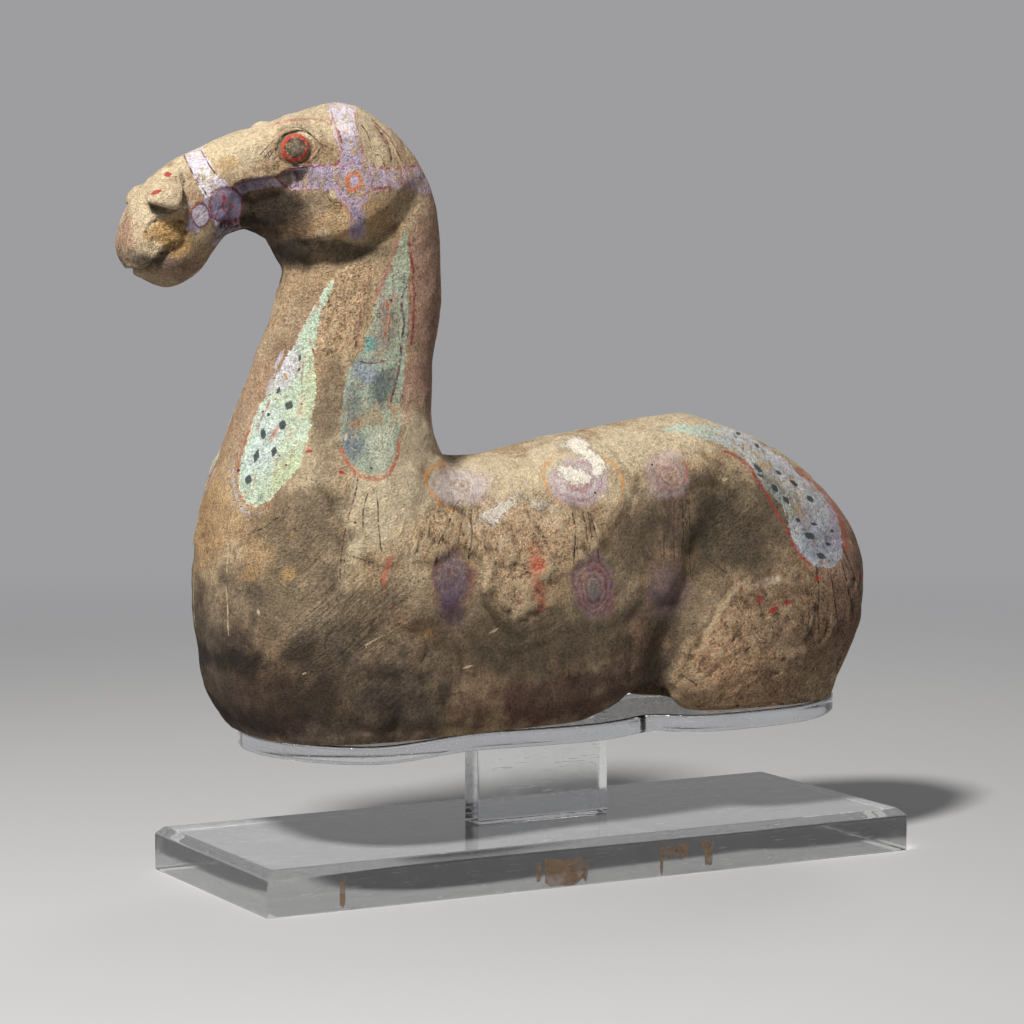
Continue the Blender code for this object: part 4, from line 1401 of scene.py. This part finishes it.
# Round motifs: middle, reach, lean and stops of (share of the radius, colour, strength)
PLUM = STROKE_COLORS["plum"]
DISCS = [
    (294.5, 148, 14.4, 14.4, 0, [
        (0, srgb(112, 106, 90), 1), (0.3, srgb(92, 86, 76), 1), (0.56, srgb(58, 50, 46), 1),
        (0.64, srgb(176, 40, 38), 1), (0.72, srgb(212, 52, 44), 1), (0.9, srgb(196, 50, 44), 1),
        (1, srgb(150, 50, 46), 0),
    ]),
    (287.5, 180, 11.6, 11.6, 0, [
        (0, srgb(150, 134, 116), 0.85), (0.68, srgb(156, 138, 132), 0.8), (0.76, srgb(168, 58, 58), 0.9),
        (0.92, srgb(160, 54, 56), 0.9), (1, PLUM, 0),
    ]),
    (354.1, 182.2, 18.5, 21.5, 0, [
        (0, srgb(208, 192, 214), 1), (0.26, srgb(198, 178, 206), 1), (0.31, srgb(222, 122, 72), 1),
        (0.46, srgb(224, 128, 80), 1), (0.52, LAVENDER, 0), (0.86, srgb(176, 84, 88), 0),
        (0.93, srgb(176, 84, 88), 0.6), (1, srgb(176, 84, 88), 0),
    ]),
    (225.4, 204.3, 18.8, 18.8, 0, [
        (0, srgb(150, 130, 148), 0.9), (0.6, srgb(144, 132, 166), 0.9), (0.8, srgb(130, 118, 156), 0.9),
        (0.86, srgb(128, 44, 58), 0.95), (0.96, srgb(128, 44, 58), 0.9), (1, PLUM, 0),
    ]),
    (198.9, 214.5, 10.2, 13.4, 0, [
        (0, srgb(230, 222, 228), 0.95), (0.76, srgb(206, 196, 212), 0.95), (0.83, PLUM, 0.9),
        (0.95, PLUM, 0.9), (1, PLUM, 0),
    ]),
    (463, 486, 36, 21, 0, [
        (0, srgb(188, 150, 142), 0.7), (0.14, srgb(234, 222, 220), 0.85),
        (0.3, srgb(200, 164, 160), 0.75), (0.42, srgb(236, 226, 226), 0.8),
        (0.56, srgb(214, 196, 206), 0.7), (0.68, srgb(232, 220, 220), 0.6),
        (0.8, srgb(208, 176, 176), 0.5), (0.9, srgb(230, 216, 216), 0.45), (1, srgb(220, 196, 196), 0),
    ]),
    (580, 482, 35, 27, 0, [
        (0, srgb(204, 170, 180), 0.85), (0.14, srgb(226, 214, 218), 0.85),
        (0.3, srgb(196, 146, 158), 0.85), (0.38, srgb(222, 208, 216), 0.85),
        (0.56, srgb(208, 192, 206), 0.8), (0.66, srgb(186, 142, 160), 0.8),
        (0.74, srgb(206, 190, 204), 0.75), (0.88, srgb(204, 186, 200), 0.5), (1, srgb(200, 180, 190), 0),
    ]),
    (668, 475, 25, 28, 0, [
        (0, srgb(192, 146, 132), 0.6), (0.2, srgb(214, 188, 182), 0.7), (0.34, srgb(182, 122, 118), 0.6),
        (0.48, srgb(216, 194, 194), 0.65), (0.62, srgb(188, 140, 146), 0.6),
        (0.76, srgb(206, 188, 194), 0.5), (0.88, srgb(180, 146, 160), 0.4), (1, srgb(180, 146, 160), 0),
    ]),
    (450.8, 580, 22.5, 34, 4, [
        (0, srgb(126, 104, 116), 0.8), (0.3, srgb(104, 84, 104), 0.85), (0.5, srgb(120, 98, 122), 0.85),
        (0.74, srgb(96, 74, 96), 0.8), (0.86, srgb(126, 78, 84), 0.6), (1, srgb(140, 84, 86), 0),
    ]),
    (594.7, 587, 23.5, 37.5, 0, [
        (0, srgb(112, 104, 108), 0.85), (0.16, srgb(142, 136, 150), 0.85), (0.27, srgb(128, 66, 72), 0.9),
        (0.42, srgb(156, 136, 146), 0.85), (0.53, srgb(136, 64, 70), 0.85),
        (0.66, srgb(152, 130, 144), 0.8), (0.76, srgb(128, 70, 78), 0.8),
        (0.88, srgb(150, 126, 136), 0.6), (1, srgb(140, 110, 118), 0),
    ]),
    (669.2, 588, 24, 35, 0, [
        (0, srgb(118, 100, 122), 0.7), (0.5, srgb(108, 86, 108), 0.65), (0.75, srgb(110, 86, 102), 0.45),
        (1, srgb(110, 90, 106), 0),
    ]),
]
# Colour of dirt and painted shade that darken what is sunk
DIRT_AND_SHADE = srgb(74, 58, 40)
CRUMB = srgb(226, 206, 166)
LIME = srgb(250, 240, 222)

# What stains and bleached grains do to the colour under them
STAINED = (0.46, 0.41, 0.36)
BLEACHED = (1.55, 1.52, 1.44)

# Noises of the pottery: how many to a metre, layers and roughness
MOTTLE = (85, 6, 0.66)
GRAIN = (420, 5, 0.72)
SAND = (880, 2, 0.6)
STREAK = (330, 4, 0.6)
BRUSH_DRIFT = (9, 1, 0.5)
COMBING = (1, 2, 0.5)
RUBBING = (150, 6, 0.72)
TREMBLE = (230, 3, 0.6)
WOBBLE = (50, 2, 0.5)
RAGGED_EDGE = (520, 3, 0.65)
STREAK_STRETCH = (1, 1, 0.14)
BLEACH_STRETCH = (1, 1, 0.8)

# Patches that a noise makes: the noise, and the values where it sets in and is full
FLAKE = ((120, 8, 0.68), 0.49, 0.53)
CHIP = ((330, 6, 0.66), 0.535, 0.6)
STAIN = ((34, 7, 0.68), 0.54, 0.72)
BLEACH = ((52, 6, 0.7), 0.56, 0.7)
SPECK = ((560, 4, 0.7), 0.58, 0.68)
PALE_SPECK = ((470, 4, 0.7), 0.39, 0.3)
PIT = ((260, 2, 0.5), 0.36, 0.28)
DISC_WEAR = ((260, 7, 0.8), 0.3, 0.58)
LINE_WEAR = ((200, 6, 0.75), 0.34, 0.6)

# How strongly each grain of the clay lightens and darkens it, around a middle
MOTTLE_SHADE = 0.8
GRAIN_SHADE = 2.3
SAND_SHADE = 1.5
STREAK_SHADE = 0.4
FLAKE_SHADE = 0.12
CHIP_SHADE = 0.14
BRUSH_SHADE = 1.1
SHADE_MIDDLE = 2.51
DARKEST_SHADE = 0.12
LOOSE_GRIT = 0.6

# How strongly what lies over the clay and the paint covers them
STAIN_COVER = 0.42
BLEACH_COVER = 0.35
DAB_COVER = 0.92
LIME_COVER = 0.9
DIRT_AND_SHADE_COVER = 0.55
CRUMB_COVER = 0.45
SPECK_COVER = 0.75
PALE_SPECK_COVER = 0.65

# Where each layer shows, from the value where it sets in to the one where it is full
PAINT_HOLDS = (0.98, 0.80)
SHEET_EDGE = (-0.6, 0.5)
LINE_EDGE = (1.75, 1.15)
DAB_EDGE = (1.60, 1.30)
LIME_EDGE = (-0.5, 1.5)
SUNK_DIRT_AND_SHADE = (0.15, 1)
RAISED_CRUMB = (-0.15, -0.8)

# How far noises move the worn places of paint, the rings of a disc and the edges of lines and dabs
STREAKED_WEAR = 0.6
RING_TREMBLE = 0.24
RING_WOBBLE = 0.8
LINE_RAGGED = 0.9

# A dab's outline lies between an ellipse and a lozenge
ELLIPSE_SHARE = 0.5
LOZENGE_SHARE = 0.45

# Roughness of the clay, and how much the mottle adds and paint takes away
CLAY_ROUGHNESS = 0.78
MOTTLE_ROUGHNESS = 0.22
PAINT_SMOOTHNESS = 0.12

# How far the grain and the mottle move an edge of paint or crust, in the drawing's units
SHEET_GRAIN = 5
SHEET_MOTTLE = 9
LIME_GRAIN = 26
LIME_MOTTLE = 16

# Heights of the clay's fine unevenness, in metres
GRAIN_HEIGHT = 0.0030
SAND_HEIGHT = 0.0024
MOTTLE_HEIGHT = 0.0040
LOOSE_HEIGHT = 0.0020
STREAK_HEIGHT = 0.0007
FLAKE_HEIGHT = 0.0004
CHIP_HEIGHT = 0.0003
LIME_HEIGHT = 0.0006
BRUSH_HEIGHT = 0.0034
PIT_DEPTH = 0.0007


class Pottery(Nodes):
    """The pottery's nodes, with the noises and stored fields that its layers share."""

    def __init__(self):
        super().__init__("worn painted pottery")
        self.mottle = self.noise(MOTTLE)
        self.grain = self.noise(GRAIN)
        self.sand = self.noise(SAND)
        self.streak = self.noise(STREAK, STREAK_STRETCH)
        self.flake = self.patches(FLAKE)
        self.chip = self.patches(CHIP)
        self.ragged = self.noise(RAGGED_EDGE)
        self.sunk, self.loose, self.whiting = self.split(self.attribute("marks"))
        self.inside, self.worn, self.shows = self.split(self.attribute("sheet"))
        self.x, self.y, self.near_side = self.split(self.attribute("places"))
        self.grit = self.loose * LOOSE_GRIT + self.attribute("grit", "Fac")
        self.combed = self.brush_marks()
        self.shade = self.clay_shade()

    def brush_marks(self):
        """Marks of a stiff brush along its lean, around zero."""
        wander = self.join(0, self.noise(BRUSH_DRIFT) * BRUSH_WANDER, 0)
        place = self.vector("ADD", self.attribute("places"), wander)
        place = self.placed(place, (0, 0, 0), BRUSH_ANGLE, BRUSH_REACH)
        return (self.noise(COMBING, place=place) - 0.5) * self.attribute("brushed", "Fac")

    def clay_shade(self):
        """What the clay's grain does to a colour, as a share of it."""
        shade = self.mottle * MOTTLE_SHADE + self.grain * GRAIN_SHADE + self.sand * SAND_SHADE
        shade += self.streak * STREAK_SHADE + self.flake * FLAKE_SHADE + self.chip * CHIP_SHADE
        shade += self.combed * BRUSH_SHADE
        shade = self.math("MAXIMUM", (shade - SHADE_MIDDLE) * self.grit + 1, DARKEST_SHADE)
        return self.join(shade, shade, shade)

    def kind_color(self, kind):
        """The brush colour that a number stands for."""
        colors = list(STROKE_COLORS.values())
        stops = [(i / len(colors), color, 1) for i, color in enumerate(colors)]
        return self.ramp((kind + 0.5) / len(colors), stops, "CONSTANT")[0]

    def bare_clay(self):
        """Mottled, streaked and speckled clay with stained and bleached areas."""
        clay = self.mix(1, self.attribute("ground", "Color"), self.shade, "MULTIPLY")
        stained = self.patches(STAIN) * STAIN_COVER
        bleached = self.patches(BLEACH, BLEACH_STRETCH) * BLEACH_COVER
        return self.mix(bleached, self.mix(stained, clay, STAINED, "MULTIPLY"), BLEACHED, "MULTIPLY")

    def paint_sheets(self, under):
        """Painted sheets, worn through in places and ragged at their edges, and where they are."""
        edge = self.inside + (self.grain - 0.5) * SHEET_GRAIN + (self.mottle - 0.5) * SHEET_MOTTLE
        rubbed = self.worn + (self.streak - 0.5) * STREAKED_WEAR + self.noise(RUBBING)
        kept = self.step(rubbed, *PAINT_HOLDS) * self.step(edge, *SHEET_EDGE) * self.shows
        sheet = self.mix(1, self.attribute("paint", "Color"), self.shade, "MULTIPLY")
        return self.mix(kept, under, sheet), kept

    def paint_discs(self, color):
        """The round motifs, ring by ring, a little out of round."""
        flat = self.join(self.x, self.y, 0)
        tremble = (self.noise(TREMBLE) - 0.5) * RING_TREMBLE + (self.noise(WOBBLE) - 0.5) * RING_WOBBLE
        wear = self.patches(DISC_WEAR) * self.shows
        for middle_x, middle_y, reach_x, reach_y, lean, stops in DISCS:
            place = self.placed(flat, (middle_x, middle_y, 0), math.radians(lean), (reach_x, reach_y, 1))
            radius = self.vector("LENGTH", place, output="Value")
            here, strength = self.ramp(radius + tremble, stops)
            color = self.mix(strength * wear, color, here)
        return color

    def paint_strokes(self, under, name, wear):
        """Lines of the brush, from the fields of the nearest stroke."""
        signed, near, kind = self.split(self.attribute(name))
        far = abs(signed) + self.ragged * LINE_RAGGED
        line = self.step(far, *LINE_EDGE) * self.math("LESS_THAN", near, 1) * wear * self.shows
        return self.mix(line, under, self.kind_color(kind))

    def paint_dabs(self, under):
        """Dabs of the brush, each between an ellipse and a lozenge."""
        middle_x, middle_y, kind = self.split(self.attribute("dab_middle"))
        reach_x, reach_y, lean = self.split(self.attribute("dab_shape"))
        own = self.join(self.x - middle_x, self.y - middle_y, 0)
        inputs = {"Vector": own, "Angle": lean * -1}
        turned = self.node("ShaderNodeVectorRotate", inputs, rotation_type="Z_AXIS")
        own_x, own_y, _ = self.split(Wire(self, turned.outputs[0]))
        own_x, own_y = own_x / reach_x, own_y / reach_y
        rounded = self.math("SQRT", own_x * own_x + own_y * own_y)
        radius = rounded * ELLIPSE_SHARE + (abs(own_x) + abs(own_y)) * LOZENGE_SHARE
        dab = self.step(radius + self.ragged * LINE_RAGGED, *DAB_EDGE) * self.shows
        return self.mix(dab * DAB_COVER, under, self.kind_color(kind))

    def white_crust(self):
        """Where white crust lies on the paint."""
        lime = self.whiting + (self.mottle - 0.5) * LIME_MOTTLE + (self.grain - 0.5) * LIME_GRAIN
        return self.step(lime, *LIME_EDGE) * self.shows * self.near_side

    def dirty_and_shaded(self, color):
        """Dirt and painted shade in what is sunk, specks, and rubbed rims over everything."""
        # Painted shade and dirt darken the sunk places
        color = self.mix(self.step(self.sunk, *SUNK_DIRT_AND_SHADE) * DIRT_AND_SHADE_COVER, color, DIRT_AND_SHADE)
        raised = self.step(self.sunk, *RAISED_CRUMB) * self.loose
        color = self.mix(raised * CRUMB_COVER, color, CRUMB)
        color = self.mix(self.patches(SPECK) * SPECK_COVER, color, STAINED, "MULTIPLY")
        return self.mix(self.patches(PALE_SPECK) * PALE_SPECK_COVER, color, BLEACHED, "MULTIPLY")

    def clay_height(self, lime):
        """Height of the clay's fine unevenness."""
        height = (self.grain * GRAIN_HEIGHT + self.sand * SAND_HEIGHT) * self.grit
        height += self.mottle * (self.loose * LOOSE_HEIGHT + MOTTLE_HEIGHT)
        height += self.streak * STREAK_HEIGHT + self.flake * FLAKE_HEIGHT + self.chip * CHIP_HEIGHT
        height += lime * LIME_HEIGHT + self.combed * BRUSH_HEIGHT
        return height - self.patches(PIT) * PIT_DEPTH


def pottery_material():
    """Bare clay, sheets of paint, motifs and lines over them, white crust, and dirt with painted shade in
    hollows.
    """
    n = Pottery()
    color, painted = n.paint_sheets(n.bare_clay())
    color = n.paint_discs(color)
    line_wear = n.patches(LINE_WEAR)
    color = n.paint_strokes(color, "bold_stroke", line_wear)
    color = n.paint_strokes(color, "thin_stroke", line_wear)
    lime = n.white_crust()
    color = n.mix(lime * LIME_COVER, n.paint_dabs(color), LIME)
    roughness = n.mottle * MOTTLE_ROUGHNESS - painted * PAINT_SMOOTHNESS + CLAY_ROUGHNESS
    n.look(Base_Color=n.dirty_and_shaded(color), Roughness=roughness, Specular_IOR_Level=0.25)
    n.bump(n.clay_height(lime))
    return n.material


# Clear stand

def eased(points, ease, closed=False):
    """A bent line whose corners are rounded over a short length, with a point held before and after
    each so that the stretches between stay flat."""
    points = np.array(points, float)
    count = len(points)
    corners = range(count) if closed else range(1, count - 1)
    made = []
    for i in corners:
        corner, before, after = points[i], points[i - 1], points[(i + 1) % count]
        back = (before - corner) / np.linalg.norm(before - corner)
        ahead = (after - corner) / np.linalg.norm(after - corner)
        middle = corner + ease * (back + ahead) / 4
        made += [corner + 2 * ease * back, corner + ease * back, middle]
        made += [corner + ease * ahead, corner + 2 * ease * ahead]
    return np.array(made if closed else [points[0], *made, points[-1]])


def inset_outline(outline, amount):
    """A closed outline, running anticlockwise, moved inwards."""
    along = np.roll(outline, -1, axis=0) - np.roll(outline, 1, axis=0)
    along /= np.linalg.norm(along, axis=1, keepdims=True)
    return outline + amount * np.stack([-along[:, 1], along[:, 0]], axis=1)


def box_outline(low, high, amount):
    """The rounded rectangle of a box seen from above, moved inwards."""
    (x0, y0), (x1, y1) = np.array(low[:2]) + amount, np.array(high[:2]) - amount
    return eased([(x0, y0), (x1, y0), (x1, y1), (x0, y1)], EDGE_EASE, closed=True)


def upright_sides(low, high, cap):
    """Profile of upright sides with a strip of the flat face below and above, as (inset, height)."""
    return [(cap, low[2]), (0, low[2]), (0, high[2]), (cap, high[2])]


def stacked(name, outline_at, profile):
    """A solid with the outline for each inset of its profile of (inset, height)."""
    rings = [[(x, y, height) for x, y in outline_at(inset)] for inset, height in profile]
    return grid_mesh(name, np.array(rings))


EDGE_EASE = 0.0009
CAP_INSET = 0.010
FOOT_CHAMFER = 0.0063
PLATE_POINTS = 420
PLATE_ROUND = 0.0016


def make_plate():
    """The cradle plate, wavy along both sides, with rounded edges."""
    low, high = (np.array(corner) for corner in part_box("cradle_plate"))
    half = np.array(PLATE_OUTLINE, float) * (1, -1)
    loop = np.concatenate([half, half[-2:0:-1] * (1, -1)])
    tripled = np.concatenate([loop, loop, loop, loop[:1]])
    run = np.concatenate([[0], np.cumsum(np.linalg.norm(np.diff(tripled, axis=0), axis=1))])
    at = run[-1] / 3 * (1 + np.linspace(0, 1, PLATE_POINTS, endpoint=False))
    outline = natural_spline(run, tripled, at)
    outline = (outline - outline.min(axis=0)) / np.ptp(outline, axis=0)
    outline = low[:2] + outline * (high - low)[:2]
    profile = eased(upright_sides(low, high, 3 * PLATE_ROUND), PLATE_ROUND)
    return stacked("acrylic_cradle_plate", lambda inset: inset_outline(outline, inset), profile)


def make_column():
    """The flat bar that carries the plate."""
    low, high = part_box("column")
    profile = eased(upright_sides(low, high, CAP_INSET), EDGE_EASE)
    return stacked("acrylic_column", lambda inset: box_outline(low, high, inset), profile)


def make_foot():
    """The thick foot, its top edges bevelled."""
    low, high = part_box("foot")
    sides = upright_sides(low, (*high[:2], high[2] - FOOT_CHAMFER), CAP_INSET)[:3]
    bevel = [(FOOT_CHAMFER, high[2]), (CAP_INSET + FOOT_CHAMFER, high[2])]
    profile = eased(sides + bevel, EDGE_EASE)
    return stacked("acrylic_foot", lambda inset: box_outline(low, high, inset), profile)


# Brown residue behind the front face of the foot: left, right, top and bottom of each run, as metres
# from the middle of the face and shares of its height
RESIDUE_RUNS = [
    (-0.064, -0.06, 0.7, 0.22), (-0.056, -0.02, 0.78, 0.04), (-0.02, -0.015, 0.66, 0.12),
    (0.056, 0.059, 0.8, 0.06), (0.059, 0.072, 0.8, 0.52), (0.072, 0.084, 0.8, 0.44),
    (0.096, 0.101, 0.82, 0.6), (0.101, 0.109, 0.82, 0.18), (-0.245, -0.24, 0.8, 0.1),
]
RESIDUE_DEPTH = 0.0006
RESIDUE_THICKNESS = 0.00015
RESIDUE_STEPS = 8
RESIDUE_SAG = 0.16
RESIDUE_DRIP = 0.14
RESIDUE_LOWEST = 0.03

# Waves of a run's lower and upper edge: height and angle along it
LOWER_WAVE = (0.03, 9)
UPPER_WAVE = (0.04, 5)


def make_residue():
    """Thin brown films that have run down behind the front face of the foot."""
    low, high = (np.array(corner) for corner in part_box("foot"))
    middle = (low[0] + high[0]) / 2
    shoulder = high[2] - low[2] - FOOT_CHAMFER
    along = np.linspace(0, 1, RESIDUE_STEPS + 1)
    lower_height, lower_angle = LOWER_WAVE
    upper_height, upper_angle = UPPER_WAVE
    builder = bmesh.new()
    for i, (left, right, top, bottom) in enumerate(RESIDUE_RUNS):
        x = middle + left + (right - left) * along
        y = low[1] + RESIDUE_DEPTH + 2 * i * RESIDUE_THICKNESS
        sag = RESIDUE_SAG * np.sin(np.pi * along) ** 0.5 + lower_height * np.sin(lower_angle * along + i)
        lower = low[2] + shoulder * np.maximum(bottom + RESIDUE_DRIP - sag, RESIDUE_LOWEST)
        upper = low[2] + shoulder * (top + upper_height * np.sin(upper_angle * along + 2 * i))
        edge = [*zip(x, lower), *zip(x[::-1], upper[::-1])]
        face = builder.faces.new([builder.verts.new((a, y, b)) for a, b in edge])
        back = bmesh.ops.extrude_face_region(builder, geom=[face])
        moved = [item for item in back["geom"] if isinstance(item, bmesh.types.BMVert)]
        bmesh.ops.translate(builder, verts=moved, vec=(0, RESIDUE_THICKNESS, 0))
    bmesh.ops.recalc_face_normals(builder, faces=builder.faces)
    mesh = bpy.data.meshes.new("foot_residue")
    builder.to_mesh(mesh)
    builder.free()
    return add_object("foot_residue", mesh)


RESIDUE_CLOUDS = (160, 5, 0.65)
RESIDUE_THICK = ((70, 6, 0.7), 0.62, 0.42)
RESIDUE_DARK = srgb(66, 48, 32)
RESIDUE_LIGHT = srgb(132, 102, 70)
RESIDUE_ALPHA = (0.38, 0.93)
RESIDUE_ROUGHNESS = (0.5, 0.8)
RESIDUE_HEIGHT = 0.0004


def residue_material():
    """Cloudy brown film, thin in places."""
    n = Nodes("brown residue")
    cloudy = n.noise(RESIDUE_CLOUDS)
    thick = n.patches(RESIDUE_THICK)
    n.look(
        Base_Color=n.mix(cloudy, RESIDUE_DARK, RESIDUE_LIGHT),
        Alpha=n.between(thick, *RESIDUE_ALPHA),
        Roughness=n.between(cloudy, *RESIDUE_ROUGHNESS),
    )
    n.bump(cloudy * RESIDUE_HEIGHT)
    return n.material


# Scratched arcs on the foot: middle and radius
SCRATCH_ARCS = [
    (0.175, -0.01, 0.052), (0.16, -0.022, 0.058), (0.15, -0.03, 0.046), (-0.26, 0.045, 0.02),
]
SCRATCH_HALF_WIDTH = 0.00035
SCRATCH_HEIGHT = 0.000008
FINE_SCRATCH = ((900, 2, 0.5), 0.66, 0.72)
FINE_SCRATCH_STRETCH = (0.05, 1, 1)
SMUDGE = ((26, 5, 0.65), 0.46, 0.74)
RIPPLE = (14, 1, 0.4)
RIPPLE_HEIGHT = 0.00004
ACRYLIC_COLOR = (0.985, 0.995, 1, 1)
ACRYLIC_IOR = 1.49

# Roughness of the acrylic: of a scratch, of a smudge, and of the sawn sides without and with one
SCRATCH_ROUGHNESS = 0.30
SMUDGE_ROUGHNESS = 0.10
SAWN_ROUGHNESS = (0.07, 0.13)


def acrylic_material():
    """Clear acrylic with smudges and scratches, its sawn sides hazier than its polished faces."""
    n = Nodes("clear acrylic")
    smudge = n.patches(SMUDGE)
    scratch = n.patches(FINE_SCRATCH, FINE_SCRATCH_STRETCH)
    for middle_x, middle_y, radius in SCRATCH_ARCS:
        away = n.vector("DISTANCE", n.object_place, (middle_x, middle_y, 0), output="Value")
        line = n.step(abs(away - radius), SCRATCH_HALF_WIDTH, 0) * n.step(smudge, 0, 0.3)
        scratch = n.math("MAXIMUM", scratch, line)
    upright = n.split(n.add("ShaderNodeTexCoord", output="Normal"))[2]
    side = n.step(abs(upright), 0.5, 0.2)
    haze = side * n.between(smudge, *SAWN_ROUGHNESS) + smudge * SMUDGE_ROUGHNESS
    n.look(
        Base_Color=ACRYLIC_COLOR,
        Transmission_Weight=1,
        IOR=ACRYLIC_IOR,
        Roughness=scratch * SCRATCH_ROUGHNESS + haze,
    )
    n.bump(n.noise(RIPPLE) * RIPPLE_HEIGHT + scratch * SCRATCH_HEIGHT)
    return n.material


# Floor, light and camera

def make_camera():
    """The camera that sees what the drawing shows."""
    data = bpy.data.cameras.new("camera")
    data.lens, data.sensor_width = LENS, SENSOR
    data.clip_start, data.clip_end = 0.1, 60
    made = add_object("camera", data)
    made.location = VIEW_POINT.tolist()
    made.rotation_euler = (math.pi / 2 + VIEW_PITCH, 0, VIEW_YAW)
    bpy.context.scene.camera = made


def area_light(name, place, target, size, power, color):
    """A round light aimed at a target."""
    data = bpy.data.lights.new(name, "AREA")
    data.shape, data.size, data.energy, data.color = "DISK", size, power, color
    made = add_object(name, data)
    made.location = place
    made.rotation_euler = (Vector(target) - Vector(place)).to_track_quat("-Z", "Y").to_euler()


FLOOR_SIDE = 30.0
FLOOR_COLOR = (0.42, 0.42, 0.42, 1)
FADE_FROM, FADE_TO = 0.7, 2.6
BACKDROP = (0.34, 0.34, 0.35, 1)
OVERHEAD = (0.06, 0.06, 0.065, 1)
BACKDROP_TOP = 0.16
OVERHEAD_FROM = 0.50

# Lights: name, place, target, size, power and colour
LIGHTS = [
    ("key", (-1.70, -1.15, 2.70), (-0.02, 0, 0.36), 0.42, 158, (1.0, 0.985, 0.965)),
    ("rim", (1.5, 1.4, 1.7), (0, 0, 0.35), 0.9, 12, (1.0, 0.98, 0.96)),
]


def make_floor():
    """A pale floor that fades into the studio far from the piece."""
    half = FLOOR_SIDE / 2
    mesh = bpy.data.meshes.new("floor")
    corners = [(-half, -half, 0), (half, -half, 0), (half, half, 0), (-half, half, 0)]
    mesh.from_pydata(corners, [], [(0, 1, 2, 3)])
    floor = add_object("floor", mesh)
    n = Nodes("pale floor")
    away = n.vector("LENGTH", n.object_place, output="Value")
    n.look(Base_Color=FLOOR_COLOR, Roughness=0.85, Alpha=n.step(away, FADE_TO, FADE_FROM))
    floor.data.materials.append(n.material)


def make_studio():
    """A grey backdrop that darkens overhead, a large key light and a faint light from behind."""
    world = bpy.data.worlds.new("studio")
    bpy.context.scene.world = world
    world.use_nodes = True
    tree = world.node_tree
    place = tree.nodes.new("ShaderNodeTexCoord").outputs["Generated"]
    split = tree.nodes.new("ShaderNodeSeparateXYZ")
    tree.links.new(place, split.inputs[0])
    ramp = tree.nodes.new("ShaderNodeValToRGB")
    tree.links.new(split.outputs["Z"], ramp.inputs[0])
    stops = ((BACKDROP_TOP, BACKDROP), (OVERHEAD_FROM, OVERHEAD))
    for element, (position, color) in zip(ramp.color_ramp.elements, stops):
        element.position = position
        element.color = color
    background = tree.nodes["Background"]
    tree.links.new(ramp.outputs["Color"], background.inputs["Color"])
    background.inputs["Strength"].default_value = 1.0
    for light in LIGHTS:
        area_light(*light)
    bpy.context.scene.view_settings.view_transform = "Standard"
    bpy.context.scene.view_settings.look = "None"


horse = make_horse()
horse.data.materials.append(pottery_material())
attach(horse, "root")
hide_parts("horse")

acrylic = acrylic_material()
for piece, node in ((make_plate(), "cradle_plate"), (make_column(), "column"), (make_foot(), "foot")):
    piece.data.materials.append(acrylic)
    piece.visible_shadow = False
    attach(piece, "root")
    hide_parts(node)

residue = make_residue()
residue.data.materials.append(residue_material())
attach(residue, "root")

make_floor()
make_studio()
make_camera()
